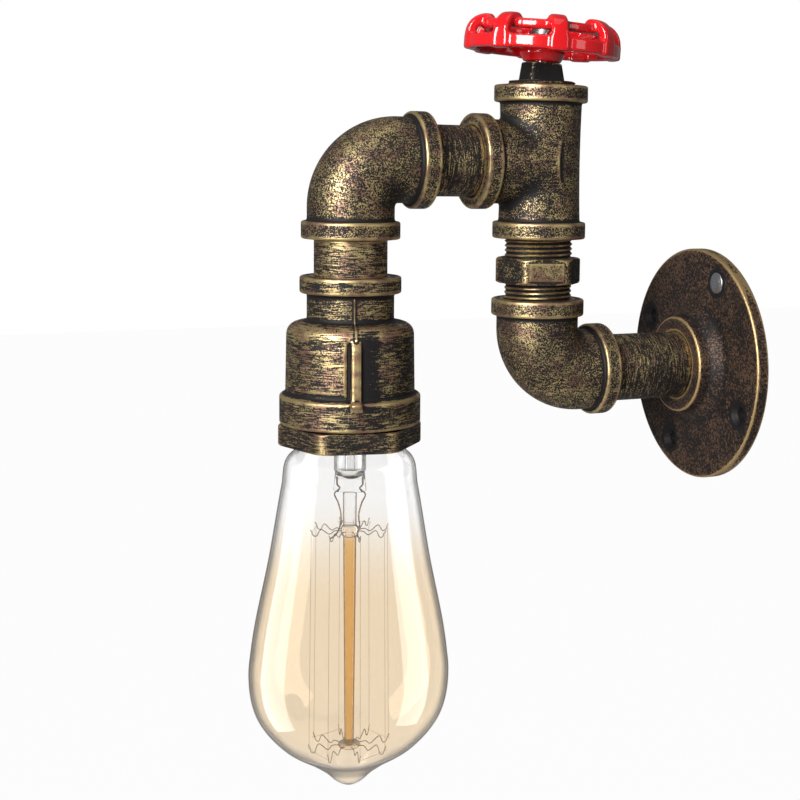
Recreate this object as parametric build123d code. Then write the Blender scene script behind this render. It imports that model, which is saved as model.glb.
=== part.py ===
from build123d import *
from math import asin, cos, degrees, pi, radians, sin, sqrt
import os

# Industrial pipe wall light, in millimetres.
# Origin: centre of the wall flange's back face. The wall is the plane Y = 0, the arm runs
# along -Y, +Z is up, and X = 0 is the plane that all the pipe axes lie in.

# --- pipe and fittings -------------------------------------------------------------------
pipe_radius = 13.35            # three-quarter inch pipe, 26.7 outside
pipe_bore_radius = 10.45
thread_radius = 13.2           # crests of the pipe thread
thread_clearance = 0.06        # between a plain male thread and its plain socket
thread_depth = 12.0            # how far a pipe screws into a fitting
socket_relief = 0.6            # free length left past the end of a screwed-in pipe
fitting_bore_radius = 11.2     # water way of the castings
branch_bore_radius = 11.0      # water way of the tee's branch
body_radius = 15.9             # cast body of the elbows and the tee
collar_radius = 18.0           # banded ends of the elbows and the tee
collar_width = 6.4
collar_chamfer = 0.9
mouth_chamfer = 0.5            # lead-in at each threaded mouth
elbow_reach = 28.8             # elbow centre to collar face
elbow_bend_radius = 17.5
tee_reach = 29.2               # tee centre to collar face
tee_waist = 0.55               # how far the run draws in at its middle

# --- lengths of pipe that show between the fittings -----------------------------------------
lower_nipple_show = 34.2
upper_nipple_show = 18.2
drop_nipple_show = 13.6

# --- wall flange ---------------------------------------------------------------------------
flange_radius = 47.25
flange_thickness = 5.2
flange_edge_chamfer = 0.9
hub_height = 14.0              # wall to the hub's face
hub_radius = 19.4
hub_root_radius = 24.5
hub_root_height = 4.2          # height of the sweep between disc and hub
hub_chamfer = 1.0
bolt_circle_radius = 38.0
bolt_count = 4
bolt_turn = 65.0               # first hole, degrees from +X towards +Z
bolt_hole_radius = 2.75
countersink_radius = 4.5

# --- hex nipple ------------------------------------------------------------------------------
hex_nipple_flats = 30.0
hex_nipple_height = 9.7
hex_nipple_turn = -13.0        # direction of one flat, degrees from +X
hex_thread_below = 6.2         # thread that shows under the hexagon
hex_thread_above = 7.5
pad_width = 14.0               # raised rectangle on one flat
pad_height = 7.4
pad_proud = 0.5

# --- square plug -----------------------------------------------------------------------------
plug_square = 14.1             # across the square's foot
plug_square_height = 6.9
plug_draft = 8.0               # degrees
plug_turn = -3.5               # direction of one flat, degrees from +X
plug_thread_show = 1.6

# --- handwheel -------------------------------------------------------------------------------
wheel_lean = 3.2               # the wheel sits this far out of level
wheel_lean_turn = 64.0         # and leans this way, degrees from +X
wheel_radius = 29.9
lobe_count = 8
lobe_turn = -14.0              # direction of one lobe, degrees from +X
lobe_width = 6.4
lobe_thickness = 3.5
lobe_crown_radius = 7.6
wheel_height = 13.0            # underside of the band to the crown of a lobe
band_height = 4.9
band_thickness = 3.0
band_inset = 0.6               # the band lies this far inside the lobes' faces
top_ring_radius = 24.0
top_ring_width = 4.0
top_ring_height = 3.6
top_ring_drop = 2.0            # the ring lies this far under the lobes' crowns
spoke_count = 4
spoke_width = 5.0
spoke_thickness = 3.4
wheel_hub_foot_radius = 7.2
wheel_hub_top_radius = 8.6
wheel_hub_drop = 3.2           # hub foot below the band's underside
wheel_hub_rise = 6.8           # hub top above the band's underside
wheel_gap = 0.3                # hub to plug, and hub to washer
wheel_screw_radius = 3.0
wheel_screw_clearance = 0.05
wheel_screw_depth = 9.0        # thread in the plug
washer_radius = 5.6
washer_thickness = 1.0
screw_head_radius = 4.6
screw_head_height = 3.0

# --- reducer and bushing ---------------------------------------------------------------------
reducer_collar_radius = 18.5
reducer_collar_width = 6.1
reducer_neck_radius = 15.9
reducer_body_height = 37.7     # the reducer's foot up to the foot of its neck
reducer_shoulder_radius = 5.6
reducer_body_radius = 23.2
reducer_body_taper = 0.45      # the body is this much wider at its foot
reducer_height = 53.8
reducer_band_radius = 25.8
reducer_band_width = 10.2
reducer_rib_turn = -13.5       # direction of one rib, degrees from +X
reducer_rib_width = 3.6
reducer_rib_proud = 1.7
reducer_cavity_depth = 31.8    # the reducer's foot up to its inner shoulder
reducer_cavity_radius = 20.95  # female thread of the wide end
bushing_flats = 46.8
bushing_turn = -12.0           # direction of one flat, degrees from +X
bushing_hex_height = 7.4
bushing_gap = 0.7              # between the reducer and the hexagon
bushing_thread_length = 12.5
bushing_bore_radius = 19.5
bushing_mouth_radius = 18.3
bushing_ledge = 3.3            # the holder stands on this ledge

# --- lamp-holder -----------------------------------------------------------------------------
holder_radius = 19.2
holder_shell_gap = 0.35        # ceramic to threaded shell
holder_rim_depth = 3.6         # recess for the terminals in the top
holder_recess_radius = 13.4
holder_floor = 3.0             # ceramic between terminals and socket
plate_thickness = 1.5
plate_clearance = 0.5
socket_shell_radius = 13.06    # clear radius inside the threaded shell
socket_shell_wall = 0.4
socket_shell_length = 20.0
contact_width = 6.0
contact_thickness = 0.5
contact_drop = 1.2             # spring contact below the socket's ceiling
wire_offset = 7.0              # live and neutral each side of X = 0
terminal_width = 6.4
terminal_length = 9.0
terminal_thickness = 1.2
small_screw_radius = 1.3
small_head_radius = 2.3
small_head_height = 1.5
small_screw_step = 4.4         # terminal screw beside its wire
plate_screw_circle = 16.4
wire_radius = 1.1
wire_spacing = 3.0             # between wires where they share the pipes
wire_end_gap = 1.2             # wires stop this far short of the wall plane
wire_bend_radius = 14.0
lug_radius = 2.0
lug_height = 5.0
lug_foot = 1.0

# --- bulb ------------------------------------------------------------------------------------
cap_radius = 13.0              # E27 screw cap
cap_length = 27.0
cap_wall = 0.35
cap_crown_radius = 9.6
cap_crown_height = 4.6
tip_radius = 4.6
tip_height = 1.6
tip_gap = 0.2                  # solder tip to spring contact
insulator_height = 2.2
bulb_radius = 37.3
bulb_turn = -26.0              # the filament cage opens this way, degrees from +X
bulb_tip_below = 16.7          # top of the lower hub down to the tip of the glass
glass_wall = 0.8
glass_neck_radius = 12.3       # glass inside the cap
glass_neck_rise = 5.0
glass_cap_gap = 0.35
stem_radius = 5.7
stem_wall = 0.9
stem_foot = 22.2               # these are depths below the cap's rim
rod_radius = 1.75
upper_hub_depth = 34.4
upper_hub_height = 4.6
upper_hub_radius = 3.3
lower_hub_depth = 118.9
lower_hub_height = 1.9
lower_hub_radius = 4.1
hook_count = 8
upper_hook_reach = 14.3
lower_hook_reach = 15.2
hook_rise = 2.6
hook_radius = 0.28
filament_radius = 0.16
lead_radius = 0.35
lead_offset = 4.4

# --- places that follow from the sizes above --------------------------------------------------
reducer_neck_foot = reducer_height - reducer_body_height
reducer_ceiling = reducer_height - reducer_cavity_depth
bulb_drop = lower_hub_depth + bulb_tip_below
column_y = -(hub_height + lower_nipple_show + elbow_reach)
hex_foot_z = elbow_reach + hex_thread_below
hex_top_z = hex_foot_z + hex_nipple_height
tee_foot_z = hex_top_z + hex_thread_above
arm_z = tee_foot_z + tee_reach
tee_top_z = arm_z + tee_reach
branch_y = column_y - tee_reach
elbow_face_y = branch_y - upper_nipple_show
drop_y = elbow_face_y - elbow_reach
drop_face_z = arm_z - elbow_reach
reducer_top_z = drop_face_z - drop_nipple_show
reducer_foot_z = reducer_top_z - reducer_height
ceiling_z = reducer_top_z - reducer_ceiling
hex_bushing_top_z = reducer_foot_z - bushing_gap
bushing_foot_z = hex_bushing_top_z - bushing_hex_height
holder_foot_z = bushing_foot_z + bushing_ledge
plate_foot_z = ceiling_z - plate_thickness
terminal_floor_z = plate_foot_z - holder_rim_depth
socket_top_z = terminal_floor_z - holder_floor
contact_z = socket_top_z - contact_drop
tip_top_z = contact_z - tip_gap
cap_rim_z = tip_top_z - cap_length
plug_square_z = tee_top_z + plug_thread_show
wheel_seat_z = plug_square_z + plug_square_height
socket_mouth_radius = thread_radius + thread_clearance
pipe_socket_radius = pipe_radius + thread_clearance

column = Pos(0, column_y, 0)
drop = Pos(0, drop_y, 0)
from_wall = Rot(X=90)                          # local +Z points out of the wall, along -Y
to_wall = Rot(X=-90)                           # local +Z points at the wall
wheel_seat = (Pos(0, column_y, wheel_seat_z) * Rot(Z=wheel_lean_turn) * Rot(Y=wheel_lean)
              * Rot(Z=-wheel_lean_turn))


# --- shared shapes ----------------------------------------------------------------------------
def spun(*outline):
    """A solid of revolution about Z from lines and arcs drawn as (radius, height)."""
    edges = [edge for piece in outline for edge in piece.edges()]
    return revolve(Plane.XZ * make_face(Wire(edges)), axis=Axis.Z)


def turned(points):
    """A solid of revolution about Z from (radius, height) corners."""
    return spun(Polyline(*points, close=True))


def disc(radius, low, high):
    """A plain cylinder about Z between two heights."""
    return Pos(0, 0, low) * Cylinder(radius, high - low, align=(Align.CENTER, Align.CENTER, Align.MIN))


def tube(outer, inner, low, high, chamfer_size=0.0):
    """A round tube about Z with chamfered outer ends."""
    c = chamfer_size
    corners = [(inner, low), (outer - c, low), (outer, low + c), (outer, high - c), (outer - c, high), (inner, high)]
    if c == 0:
        corners = [(inner, low), (outer, low), (outer, high), (inner, high)]
    return turned(corners)


def collar(reach):
    """The banded end of a casting whose mouth is at height reach on Z."""
    c, low = collar_chamfer, reach - collar_width
    return turned([(0, low), (collar_radius - c, low), (collar_radius, low + c),
                   (collar_radius, reach - c), (collar_radius - c, reach), (0, reach)])


def socket(reach, radius):
    """What a threaded mouth at height reach takes out of a casting."""
    depth = thread_depth + socket_relief
    mouth = radius + mouth_chamfer
    return turned([(0, reach - depth), (radius, reach - depth), (radius, reach - mouth_chamfer),
                   (mouth, reach), (mouth, reach + 1), (0, reach + 1)])


def hexagon(flats, low, high, turn, chamfer_size):
    """A hexagonal head about Z with its corners turned off at both ends."""
    corner = flats / sqrt(3)
    prism = extrude(Pos(0, 0, low) * Rot(Z=turn + 30) * RegularPolygon(corner, 6), high - low)
    c = chamfer_size
    envelope = turned([(0, low), (corner - c, low), (corner, low + c * 0.6),
                       (corner, high - c * 0.6), (corner - c, high), (0, high)])
    return prism & envelope


def wire_along(points, radius, bend):
    """A round wire on straight runs joined by tangent arcs."""
    path = FilletPolyline(*points, radius=bend) if len(points) > 2 else Line(*points)
    section = Plane(origin=path @ 0, z_dir=path % 0) * Circle(radius)
    return sweep(section, path=path)


# --- wall flange and pipes --------------------------------------------------------------------
def make_flange():
    c = flange_edge_chamfer
    h = hub_chamfer
    root_top = flange_thickness + hub_root_height
    sweep_radius = hub_root_radius - hub_radius
    blank = Polyline((0, 0), (flange_radius, 0), (flange_radius, flange_thickness - c),
                     (flange_radius - c, flange_thickness), (hub_root_radius, flange_thickness))
    root = RadiusArc((hub_root_radius, flange_thickness), (hub_radius, root_top), sweep_radius + 1.5)
    nose = Polyline((hub_radius, root_top), (hub_radius, hub_height - h),
                    (hub_radius - h, hub_height), (0, hub_height), (0, 0))
    body = spun(blank, root, nose)
    body -= socket(hub_height, pipe_socket_radius)
    body -= disc(pipe_bore_radius, -1, hub_height)
    for k in range(bolt_count):
        angle = radians(bolt_turn + 360 / bolt_count * k)
        at = Pos(bolt_circle_radius * cos(angle), -bolt_circle_radius * sin(angle), 0)
        sink = countersink_radius - bolt_hole_radius
        body -= at * turned([(0, -1), (bolt_hole_radius, -1), (bolt_hole_radius, flange_thickness - sink),
                             (countersink_radius, flange_thickness), (countersink_radius, flange_thickness + 1),
                             (0, flange_thickness + 1)])
    # the local frame's Y is the wall frame's Z turned over, so the holes above use -sin
    return from_wall * mirror(body, Plane.XZ)


def make_pipe(show):
    """A nipple about Z: its visible length starts at height 0."""
    return tube(pipe_radius, pipe_bore_radius, -thread_depth, show + thread_depth, 0.8)


def make_hex_nipple():
    threads = tube(thread_radius, pipe_bore_radius, hex_foot_z - hex_thread_below - thread_depth,
                   hex_top_z + hex_thread_above + thread_depth, 0.8)
    head = hexagon(hex_nipple_flats, hex_foot_z, hex_top_z, hex_nipple_turn, 1.6)
    pad = Box(pad_proud + 1, pad_width, pad_height)
    middle = (hex_foot_z + hex_top_z) / 2
    pad = Rot(Z=hex_nipple_turn) * Pos(hex_nipple_flats / 2 + (pad_proud - 1) / 2, 0, middle) * pad
    return threads + (head + pad - disc(pipe_bore_radius, hex_foot_z - 1, hex_top_z + 1))


# --- castings ---------------------------------------------------------------------------------
def make_elbow():
    """An elbow about the origin with one mouth up (+Z) and one at the wall (+Y)."""
    bend = elbow_bend_radius
    foot = elbow_reach - collar_width / 2
    middle = bend * (1 - sqrt(0.5))
    arc = ThreePointArc((0, bend, 0), (0, middle, middle), (0, 0, bend))
    path = Wire([Line((0, foot, 0), (0, bend, 0)), arc, Line((0, 0, bend), (0, 0, foot))])
    start = Plane(origin=(0, foot, 0), z_dir=(0, -1, 0))
    body = sweep(start * Circle(body_radius), path=path)
    body += collar(elbow_reach) + to_wall * collar(elbow_reach)
    body -= sweep(start * Circle(fitting_bore_radius), path=path)
    mouth = socket(elbow_reach, pipe_socket_radius)
    return body - mouth - to_wall * mouth


def make_tee():
    """A tee about the origin: its run on Z and its branch along -Y."""
    reach = tee_reach
    foot = reach - collar_width / 2
    side = ThreePointArc((body_radius, -foot), (body_radius - tee_waist, 0), (body_radius, foot))
    run = spun(side, Polyline((body_radius, foot), (0, foot), (0, -foot), (body_radius, -foot)))
    body = run + from_wall * disc(body_radius, 0, foot)
    body += collar(reach) + Rot(X=180) * collar(reach) + from_wall * collar(reach)
    body -= disc(fitting_bore_radius, -foot, foot) + from_wall * disc(branch_bore_radius, 0, foot)
    narrow = socket(reach, socket_mouth_radius)
    return body - narrow - Rot(X=180) * narrow - from_wall * socket(reach, pipe_socket_radius)


def make_reducer():
    """A bell reducer about Z with its narrow mouth at height 0 and its wide mouth below."""
    c = collar_chamfer
    top, neck = reducer_collar_radius, reducer_neck_radius
    arc = reducer_shoulder_radius
    body, band = reducer_body_radius, reducer_band_radius
    shoulder_z = -reducer_neck_foot - 1.6
    band_top = -reducer_height + reducer_band_width
    foot_radius = body + reducer_body_taper
    upper = Polyline((0, 0), (top - c, 0), (top, -c), (top, c - reducer_collar_width),
                     (top - c, -reducer_collar_width), (neck, -reducer_collar_width),
                     (neck, -reducer_neck_foot), (body - arc, shoulder_z))
    shoulder = CenterArc((body - arc, shoulder_z - arc), arc, 90, -90)
    lower = Polyline((body, shoulder_z - arc), (foot_radius, band_top + 1.6), (band - 0.5, band_top),
                     (band, band_top - c), (band, c - reducer_height), (band - c, -reducer_height),
                     (0, -reducer_height), (0, 0))
    solid = spun(upper, shoulder, lower)
    rib_low, rib_high = band_top - 1, shoulder_z - arc
    for side in (0, 180):
        rib = Pos(body + reducer_rib_proud / 2 - 1, 0, (rib_low + rib_high) / 2)
        rib *= Box(reducer_rib_proud + 2, reducer_rib_width, rib_high - rib_low)
        solid += Rot(Z=reducer_rib_turn + side) * rib
    cavity = reducer_cavity_radius
    solid -= disc(fitting_bore_radius, -reducer_ceiling - 1, 0)
    solid -= turned([(0, -reducer_height - 1), (cavity + mouth_chamfer, -reducer_height - 1),
                     (cavity + mouth_chamfer, -reducer_height), (cavity, mouth_chamfer - reducer_height),
                     (cavity, -reducer_ceiling), (0, -reducer_ceiling)])
    return solid - socket(0, pipe_socket_radius)


def make_bushing():
    head = hexagon(bushing_flats, bushing_foot_z, hex_bushing_top_z, bushing_turn, 1.2)
    top = hex_bushing_top_z + bushing_thread_length
    outer = reducer_cavity_radius - thread_clearance
    solid = head + turned([(0, hex_bushing_top_z - 1), (outer, hex_bushing_top_z - 1), (outer, top - 1),
                           (outer - 0.7, top), (0, top)])
    solid -= disc(bushing_bore_radius, holder_foot_z, top + 1)
    return solid - disc(bushing_mouth_radius, bushing_foot_z - 1, holder_foot_z + 1)


def make_plug():
    """A square-headed plug on the column's axis; its top is cut square to the wheel's screw."""
    foot = tee_top_z - thread_depth
    solid = disc(thread_radius, foot, plug_square_z)
    rise = plug_square_height + 2
    shrink = 2 * rise * sin(radians(plug_draft))
    lower = Pos(0, 0, plug_square_z) * Rot(Z=plug_turn) * Rectangle(plug_square, plug_square)
    upper = Pos(0, 0, plug_square_z + rise) * Rot(Z=plug_turn) * Rectangle(plug_square - shrink, plug_square - shrink)
    solid += loft([lower, upper])
    solid = column * solid
    above = wheel_seat * Pos(0, 0, 10) * Box(60, 60, 20)
    hole = wheel_seat * disc(wheel_screw_radius, -wheel_screw_depth - 0.5, 1)
    return solid - above - hole


# --- handwheel --------------------------------------------------------------------------------
def make_lobe():
    """One arched lobe in the XZ plane: up from the band and over to the top ring."""
    outer, thick = wheel_radius, lobe_thickness
    crown, top = lobe_crown_radius, wheel_height
    inner_end = top_ring_radius - top_ring_width
    inner_crown = crown - thick
    centre = (outer - crown, top - crown)
    outer_side = Line((outer, 0), (outer, top - crown))
    outer_arc = CenterArc(centre, crown, 0, 90)
    across = Polyline((outer - crown, top), (inner_end, top), (inner_end, top - thick), (outer - crown, top - thick))
    inner_arc = CenterArc(centre, inner_crown, 0, 90)
    inner_side = Polyline((outer - thick, top - crown), (outer - thick, 0), (outer, 0))
    pieces = [outer_side, outer_arc, across, inner_arc, inner_side]
    profile = Plane.XZ * make_face(Wire([edge for piece in pieces for edge in piece.edges()]))
    return extrude(profile, lobe_width / 2, both=True)


def make_spoke():
    """One dished spoke from the hub out to the underside of the top ring."""
    low = wheel_hub_rise - spoke_thickness - 1.2
    high = wheel_height - top_ring_drop - top_ring_height
    start, end = wheel_hub_foot_radius - 1.5, top_ring_radius - top_ring_width / 2
    profile = Polyline((start, 0, low - 2), (end, 0, high), (end, 0, high + 1.2),
                       (end - 2, 0, high + spoke_thickness), (start, 0, low + spoke_thickness - 0.4), close=True)
    return extrude(make_face(profile), spoke_width / 2, both=True)


def make_handwheel():
    """The wheel on its own seat: the underside of the band is wheel_hub_drop above the hub's foot."""
    ring_top = wheel_height - top_ring_drop
    band_outer = wheel_radius - band_inset
    wheel = tube(band_outer, band_outer - band_thickness, 0, band_height, 0.5)
    wheel += tube(top_ring_radius, top_ring_radius - top_ring_width, ring_top - top_ring_height, ring_top, 0.7)
    for k in range(lobe_count):
        wheel += Rot(Z=lobe_turn + 360 / lobe_count * k) * make_lobe()
    for k in range(spoke_count):
        wheel += Rot(Z=lobe_turn + 360 / spoke_count * k) * make_spoke()
    wheel += turned([(0, -wheel_hub_drop), (wheel_hub_foot_radius, -wheel_hub_drop),
                     (wheel_hub_top_radius, 0), (wheel_hub_top_radius, wheel_hub_rise), (0, wheel_hub_rise)])
    wheel -= disc(wheel_screw_radius + wheel_screw_clearance, -wheel_hub_drop - 1, wheel_hub_rise + 1)
    return wheel_seat * Pos(0, 0, wheel_hub_drop + wheel_gap) * wheel


def make_wheel_screw():
    washer_z = wheel_gap + wheel_hub_drop + wheel_hub_rise + wheel_gap
    head_z = washer_z + washer_thickness
    screw = disc(wheel_screw_radius, -wheel_screw_depth, head_z)
    screw += turned([(0, head_z), (screw_head_radius, head_z), (screw_head_radius, head_z + 1.6),
                     (screw_head_radius - 1.6, head_z + screw_head_height), (0, head_z + screw_head_height)])
    slot = Pos(0, 0, head_z + screw_head_height) * Box(2 * screw_head_radius + 1, 1.2, 2.4)
    washer = tube(washer_radius, wheel_screw_radius, washer_z, head_z)
    return wheel_seat * (screw - slot), wheel_seat * washer


# --- lamp-holder ------------------------------------------------------------------------------
def make_holder():
    """The ceramic body: a skirt round the threaded shell and a recess for the terminals."""
    shell_outer = socket_shell_radius + socket_shell_wall + holder_shell_gap
    skirt = turned([(0, holder_foot_z), (holder_radius - 0.6, holder_foot_z),
                    (holder_radius, holder_foot_z + 0.6), (holder_radius, plate_foot_z), (0, plate_foot_z)])
    skirt -= disc(shell_outer, holder_foot_z - 1, socket_top_z)
    skirt -= disc(holder_recess_radius, terminal_floor_z, plate_foot_z + 1)
    for side in (-1, 1):
        skirt -= Pos(side * wire_offset, 0, 0) * disc(small_screw_radius, socket_top_z - 1, terminal_floor_z + 1)
        skirt -= Pos(0, side * plate_screw_circle, 0) * disc(small_screw_radius, plate_foot_z - 8, plate_foot_z + 1)
    return skirt


def make_socket_shell():
    """The threaded shell, hung from the socket's ceiling by its turned-in rim."""
    outer, inner = socket_shell_radius + socket_shell_wall, socket_shell_radius
    low, wall = socket_top_z - socket_shell_length, socket_shell_wall
    shell = turned([(inner, low), (outer, low), (outer, socket_top_z), (inner - 3.5, socket_top_z),
                    (inner - 3.5, socket_top_z - wall), (inner, socket_top_z - wall)])
    tab_start, tab_end = wire_offset - small_screw_radius - 0.6, inner - 3
    tab = Pos((tab_start + tab_end) / 2, 0, socket_top_z - wall / 2)
    tab *= Box(tab_end - tab_start, 2 * small_screw_radius + 2, wall)
    rivet = Pos(wire_offset, 0, 0) * disc(small_screw_radius - 0.05, socket_top_z - wall, terminal_floor_z)
    return shell + tab + rivet


def make_contact():
    """The centre contact: a sprung tongue bent down from the live rivet."""
    low = contact_z
    reach = wire_offset + small_screw_radius
    thick = contact_thickness
    profile = Polyline((-reach, 0, socket_top_z), (-reach, 0, socket_top_z - thick), (-3.6, 0, socket_top_z - thick),
                       (-1.8, 0, low), (3.4, 0, low), (3.4, 0, low + thick), (-1.4, 0, low + thick),
                       (-3.2, 0, socket_top_z), close=True)
    tongue = extrude(make_face(profile), contact_width / 2, both=True)
    tongue &= disc(socket_shell_radius - 4.0, low - 1, socket_top_z)
    rivet = Pos(-wire_offset, 0, 0) * disc(small_screw_radius - 0.05, socket_top_z - thick, terminal_floor_z)
    return tongue + rivet


def make_terminal(side):
    """A brass tab in the recess, under its wire, with a clamping screw beside it."""
    middle = small_screw_step / 2
    height = terminal_thickness
    tab = Pos(side * wire_offset, middle, terminal_floor_z + height / 2)
    tab *= Box(terminal_width, terminal_length, height)
    return tab - Pos(side * wire_offset, small_screw_step, 0) * disc(small_screw_radius - 0.3,
                                                                     terminal_floor_z - 1, terminal_floor_z + height + 1)


def make_terminal_screw(side):
    at = Pos(side * wire_offset, small_screw_step, terminal_floor_z)
    top = terminal_thickness + small_head_height
    screw = disc(small_screw_radius - 0.35, 0.1, terminal_thickness)
    screw += turned([(0, terminal_thickness), (small_head_radius, terminal_thickness),
                     (small_head_radius, top - 0.5), (small_head_radius - 0.5, top), (0, top)])
    slot = Pos(0, 0, top) * Box(0.6, 2 * small_head_radius + 1, 0.8)
    return at * (screw - slot)


def make_plate():
    """The steel plate between the holder and the reducer's inner shoulder."""
    solid = disc(reducer_cavity_radius - plate_clearance, plate_foot_z, ceiling_z)
    for side in (-1, 1):
        solid -= Pos(side * wire_offset, 0, 0) * disc(wire_radius + 2.0, plate_foot_z - 1, ceiling_z + 1)
        sink = small_head_radius
        solid -= Pos(0, side * plate_screw_circle, 0) * turned(
            [(0, plate_foot_z - 1), (small_screw_radius, plate_foot_z - 1), (small_screw_radius, ceiling_z - 1),
             (sink, ceiling_z), (sink, ceiling_z + 1), (0, ceiling_z + 1)])
    earth_y = small_screw_step
    return solid - Pos(0, earth_y, 0) * disc(small_screw_radius - 0.3, plate_foot_z - 1, ceiling_z + 1)


def make_plate_screws():
    """Two countersunk screws that hold the plate on the ceramic body."""
    screws = []
    for side in (-1, 1):
        screws.append(Pos(0, side * plate_screw_circle, 0) * turned(
            [(0, plate_foot_z - 7), (small_screw_radius - 0.05, plate_foot_z - 7),
             (small_screw_radius - 0.05, ceiling_z - 1.05), (small_head_radius - 0.1, ceiling_z - 0.05),
             (0, ceiling_z - 0.05)]))
    return Compound(children=screws)


def make_earth_lug():
    """A crimp barrel on a foot that the earth screw holds down on the plate."""
    foot = Pos(0, small_screw_step / 2, ceiling_z + lug_foot / 2) * Box(2 * lug_radius, 8.6, lug_foot)
    solid = foot + disc(lug_radius, ceiling_z, ceiling_z + lug_height)
    solid -= disc(wire_radius + 0.05, ceiling_z + lug_foot, ceiling_z + lug_height + 1)
    return solid - Pos(0, small_screw_step, 0) * disc(small_screw_radius - 0.3, ceiling_z - 1, ceiling_z + 2)


def make_earth_screw():
    foot, top = ceiling_z + lug_foot, ceiling_z + lug_foot + small_head_height
    radius = small_head_radius - 0.4
    screw = disc(small_screw_radius - 0.35, plate_foot_z, foot)
    screw += turned([(0, foot), (radius, foot), (radius, top - 0.5), (radius - 0.5, top), (0, top)])
    return Pos(0, small_screw_step, 0) * (screw - Pos(0, 0, top) * Box(0.6, 6, 0.8))


# --- wires --------------------------------------------------------------------------------------
def wire_route(side):
    """A wire's points from the lamp-holder through the pipes to the wall; side is -1, 0 or 1."""
    x = side * wire_spacing
    run = [(x, drop_y, arm_z), (x, column_y, arm_z), (x, column_y, 0), (x, -wire_end_gap, 0)]
    if side == 0:
        return [(0, drop_y, ceiling_z + lug_foot + 0.1), *run]
    end_z = terminal_floor_z + terminal_thickness + 0.1
    spread = side * wire_offset
    return [(spread, drop_y, end_z), (spread, drop_y, ceiling_z + 2), (x, drop_y, ceiling_z + 12), *run]


def make_wire(side):
    points = wire_route(side)
    radii = [wire_bend_radius] * (len(points) - 2)
    if side:
        radii[0] = radii[1] = 5 * wire_radius * 2
    return wire_along(points, wire_radius, radii)


# --- bulb ---------------------------------------------------------------------------------------
def glass_outline(inset):
    """Half outline of the glass below the cap's rim, inset from the outer face, as (radius, height)."""
    wide, deep = bulb_radius, bulb_drop
    shape = [(0.445, 0.026), (0.622, 0.066), (0.673, 0.140), (0.791, 0.330), (0.979, 0.604),
             (1.0, 0.664), (0.931, 0.777), (0.708, 0.859), (0.408, 0.919), (0.282, 0.949), (0.158, 0.986)]
    return [(wide * r - inset, cap_rim_z - deep * z) for r, z in shape]


def glass_solid(inset, neck_top):
    """The glass as a full solid, its outer face drawn in by inset."""
    shape = [(glass_neck_radius - inset, cap_rim_z), *glass_outline(inset)]
    tip = cap_rim_z - bulb_drop + inset
    side = Spline(*shape, (0, tip), tangents=[(0.25, -1), (-1, 0)])
    neck = Polyline((0, tip), (0, neck_top), (glass_neck_radius - inset, neck_top),
                    (glass_neck_radius - inset, cap_rim_z))
    return spun(side, neck)


def make_glass():
    neck_top = cap_rim_z + glass_neck_rise
    return glass_solid(0, neck_top) - glass_solid(glass_wall, neck_top + 1)


def make_cap():
    """The screw cap: a thin shell that steps in to a crown under the solder tip."""
    wall, crown = cap_wall, cap_crown_radius
    crown_z = tip_top_z - tip_height - insulator_height
    shoulder_z = crown_z - cap_crown_height
    outer = [(cap_radius, cap_rim_z), (cap_radius, shoulder_z), (crown, crown_z)]
    inner = [(crown - wall, crown_z - wall * 0.4), (cap_radius - wall, shoulder_z - wall), (cap_radius - wall, cap_rim_z)]
    return turned(outer + inner)


def make_insulator():
    """The glass insulator that closes the cap round the solder tip."""
    low = tip_top_z - tip_height - insulator_height
    top = tip_top_z - tip_height
    return turned([(0, low), (cap_crown_radius - cap_wall - 0.1, low - 0.1), (cap_crown_radius - 0.2, low + 0.15),
                   (tip_radius + 0.6, top), (0, top)])


def make_tip():
    """The solder tip: a low round dome on the insulator."""
    low = tip_top_z - tip_height
    dome = (tip_radius ** 2 + tip_height ** 2) / (2 * tip_height)
    return disc(tip_radius, low, tip_top_z) & Pos(0, 0, tip_top_z - dome) * Sphere(dome)


def make_stem():
    """The flared glass tube with its flattened pinch, sealed into the neck of the bulb."""
    rim = glass_neck_radius - glass_wall - 0.05
    top = cap_rim_z + glass_neck_rise
    foot = cap_rim_z - stem_foot
    inner = stem_radius - stem_wall
    tube_solid = turned([(rim - 1, top), (rim, top - 0.8), (stem_radius, top - 9), (stem_radius, foot + 4),
                         (stem_radius - 1.5, foot), (0, foot), (0, foot + 6), (inner, foot + 9), (inner, top - 9.4)])
    pinch = Pos(0, 0, foot + 2.5) * Rot(Z=bulb_turn) * Box(4.2, 2 * stem_radius + 1.4, 5)
    return tube_solid + pinch


def make_rod():
    """The glass rod that carries the two hubs of the filament cage."""
    return disc(rod_radius, cap_rim_z - lower_hub_depth, cap_rim_z - stem_foot)


def make_hub(depth, height, radius):
    low, high = cap_rim_z - depth - height, cap_rim_z - depth
    c = height * 0.25
    bore = rod_radius + 0.05 if depth < lower_hub_depth else 0.0
    return turned([(bore, low), (radius - c, low), (radius, low + c), (radius, high - c), (radius - c, high), (bore, high)])


def hook_point(k, reach, z):
    angle = radians(bulb_turn + 360 / hook_count * (k + 0.5))
    return (reach * cos(angle), reach * sin(angle), z)


def make_hooks(hub_z, hub_radius, reach, rise):
    """Wire supports that stand out of a hub and turn at their ends, one for each filament bend."""
    hooks = []
    for k in range(hook_count):
        root = hook_point(k, hub_radius + 0.05, hub_z)
        knee = hook_point(k, reach - 1.6, hub_z + rise * 0.5)
        end = hook_point(k, reach, hub_z - rise * 0.35)
        hooks.append(wire_along([root, knee], hook_radius, 1) + wire_along([knee, end], hook_radius, 1)
                     + Pos(*knee) * Sphere(hook_radius))
    return Compound(children=hooks)


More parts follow.
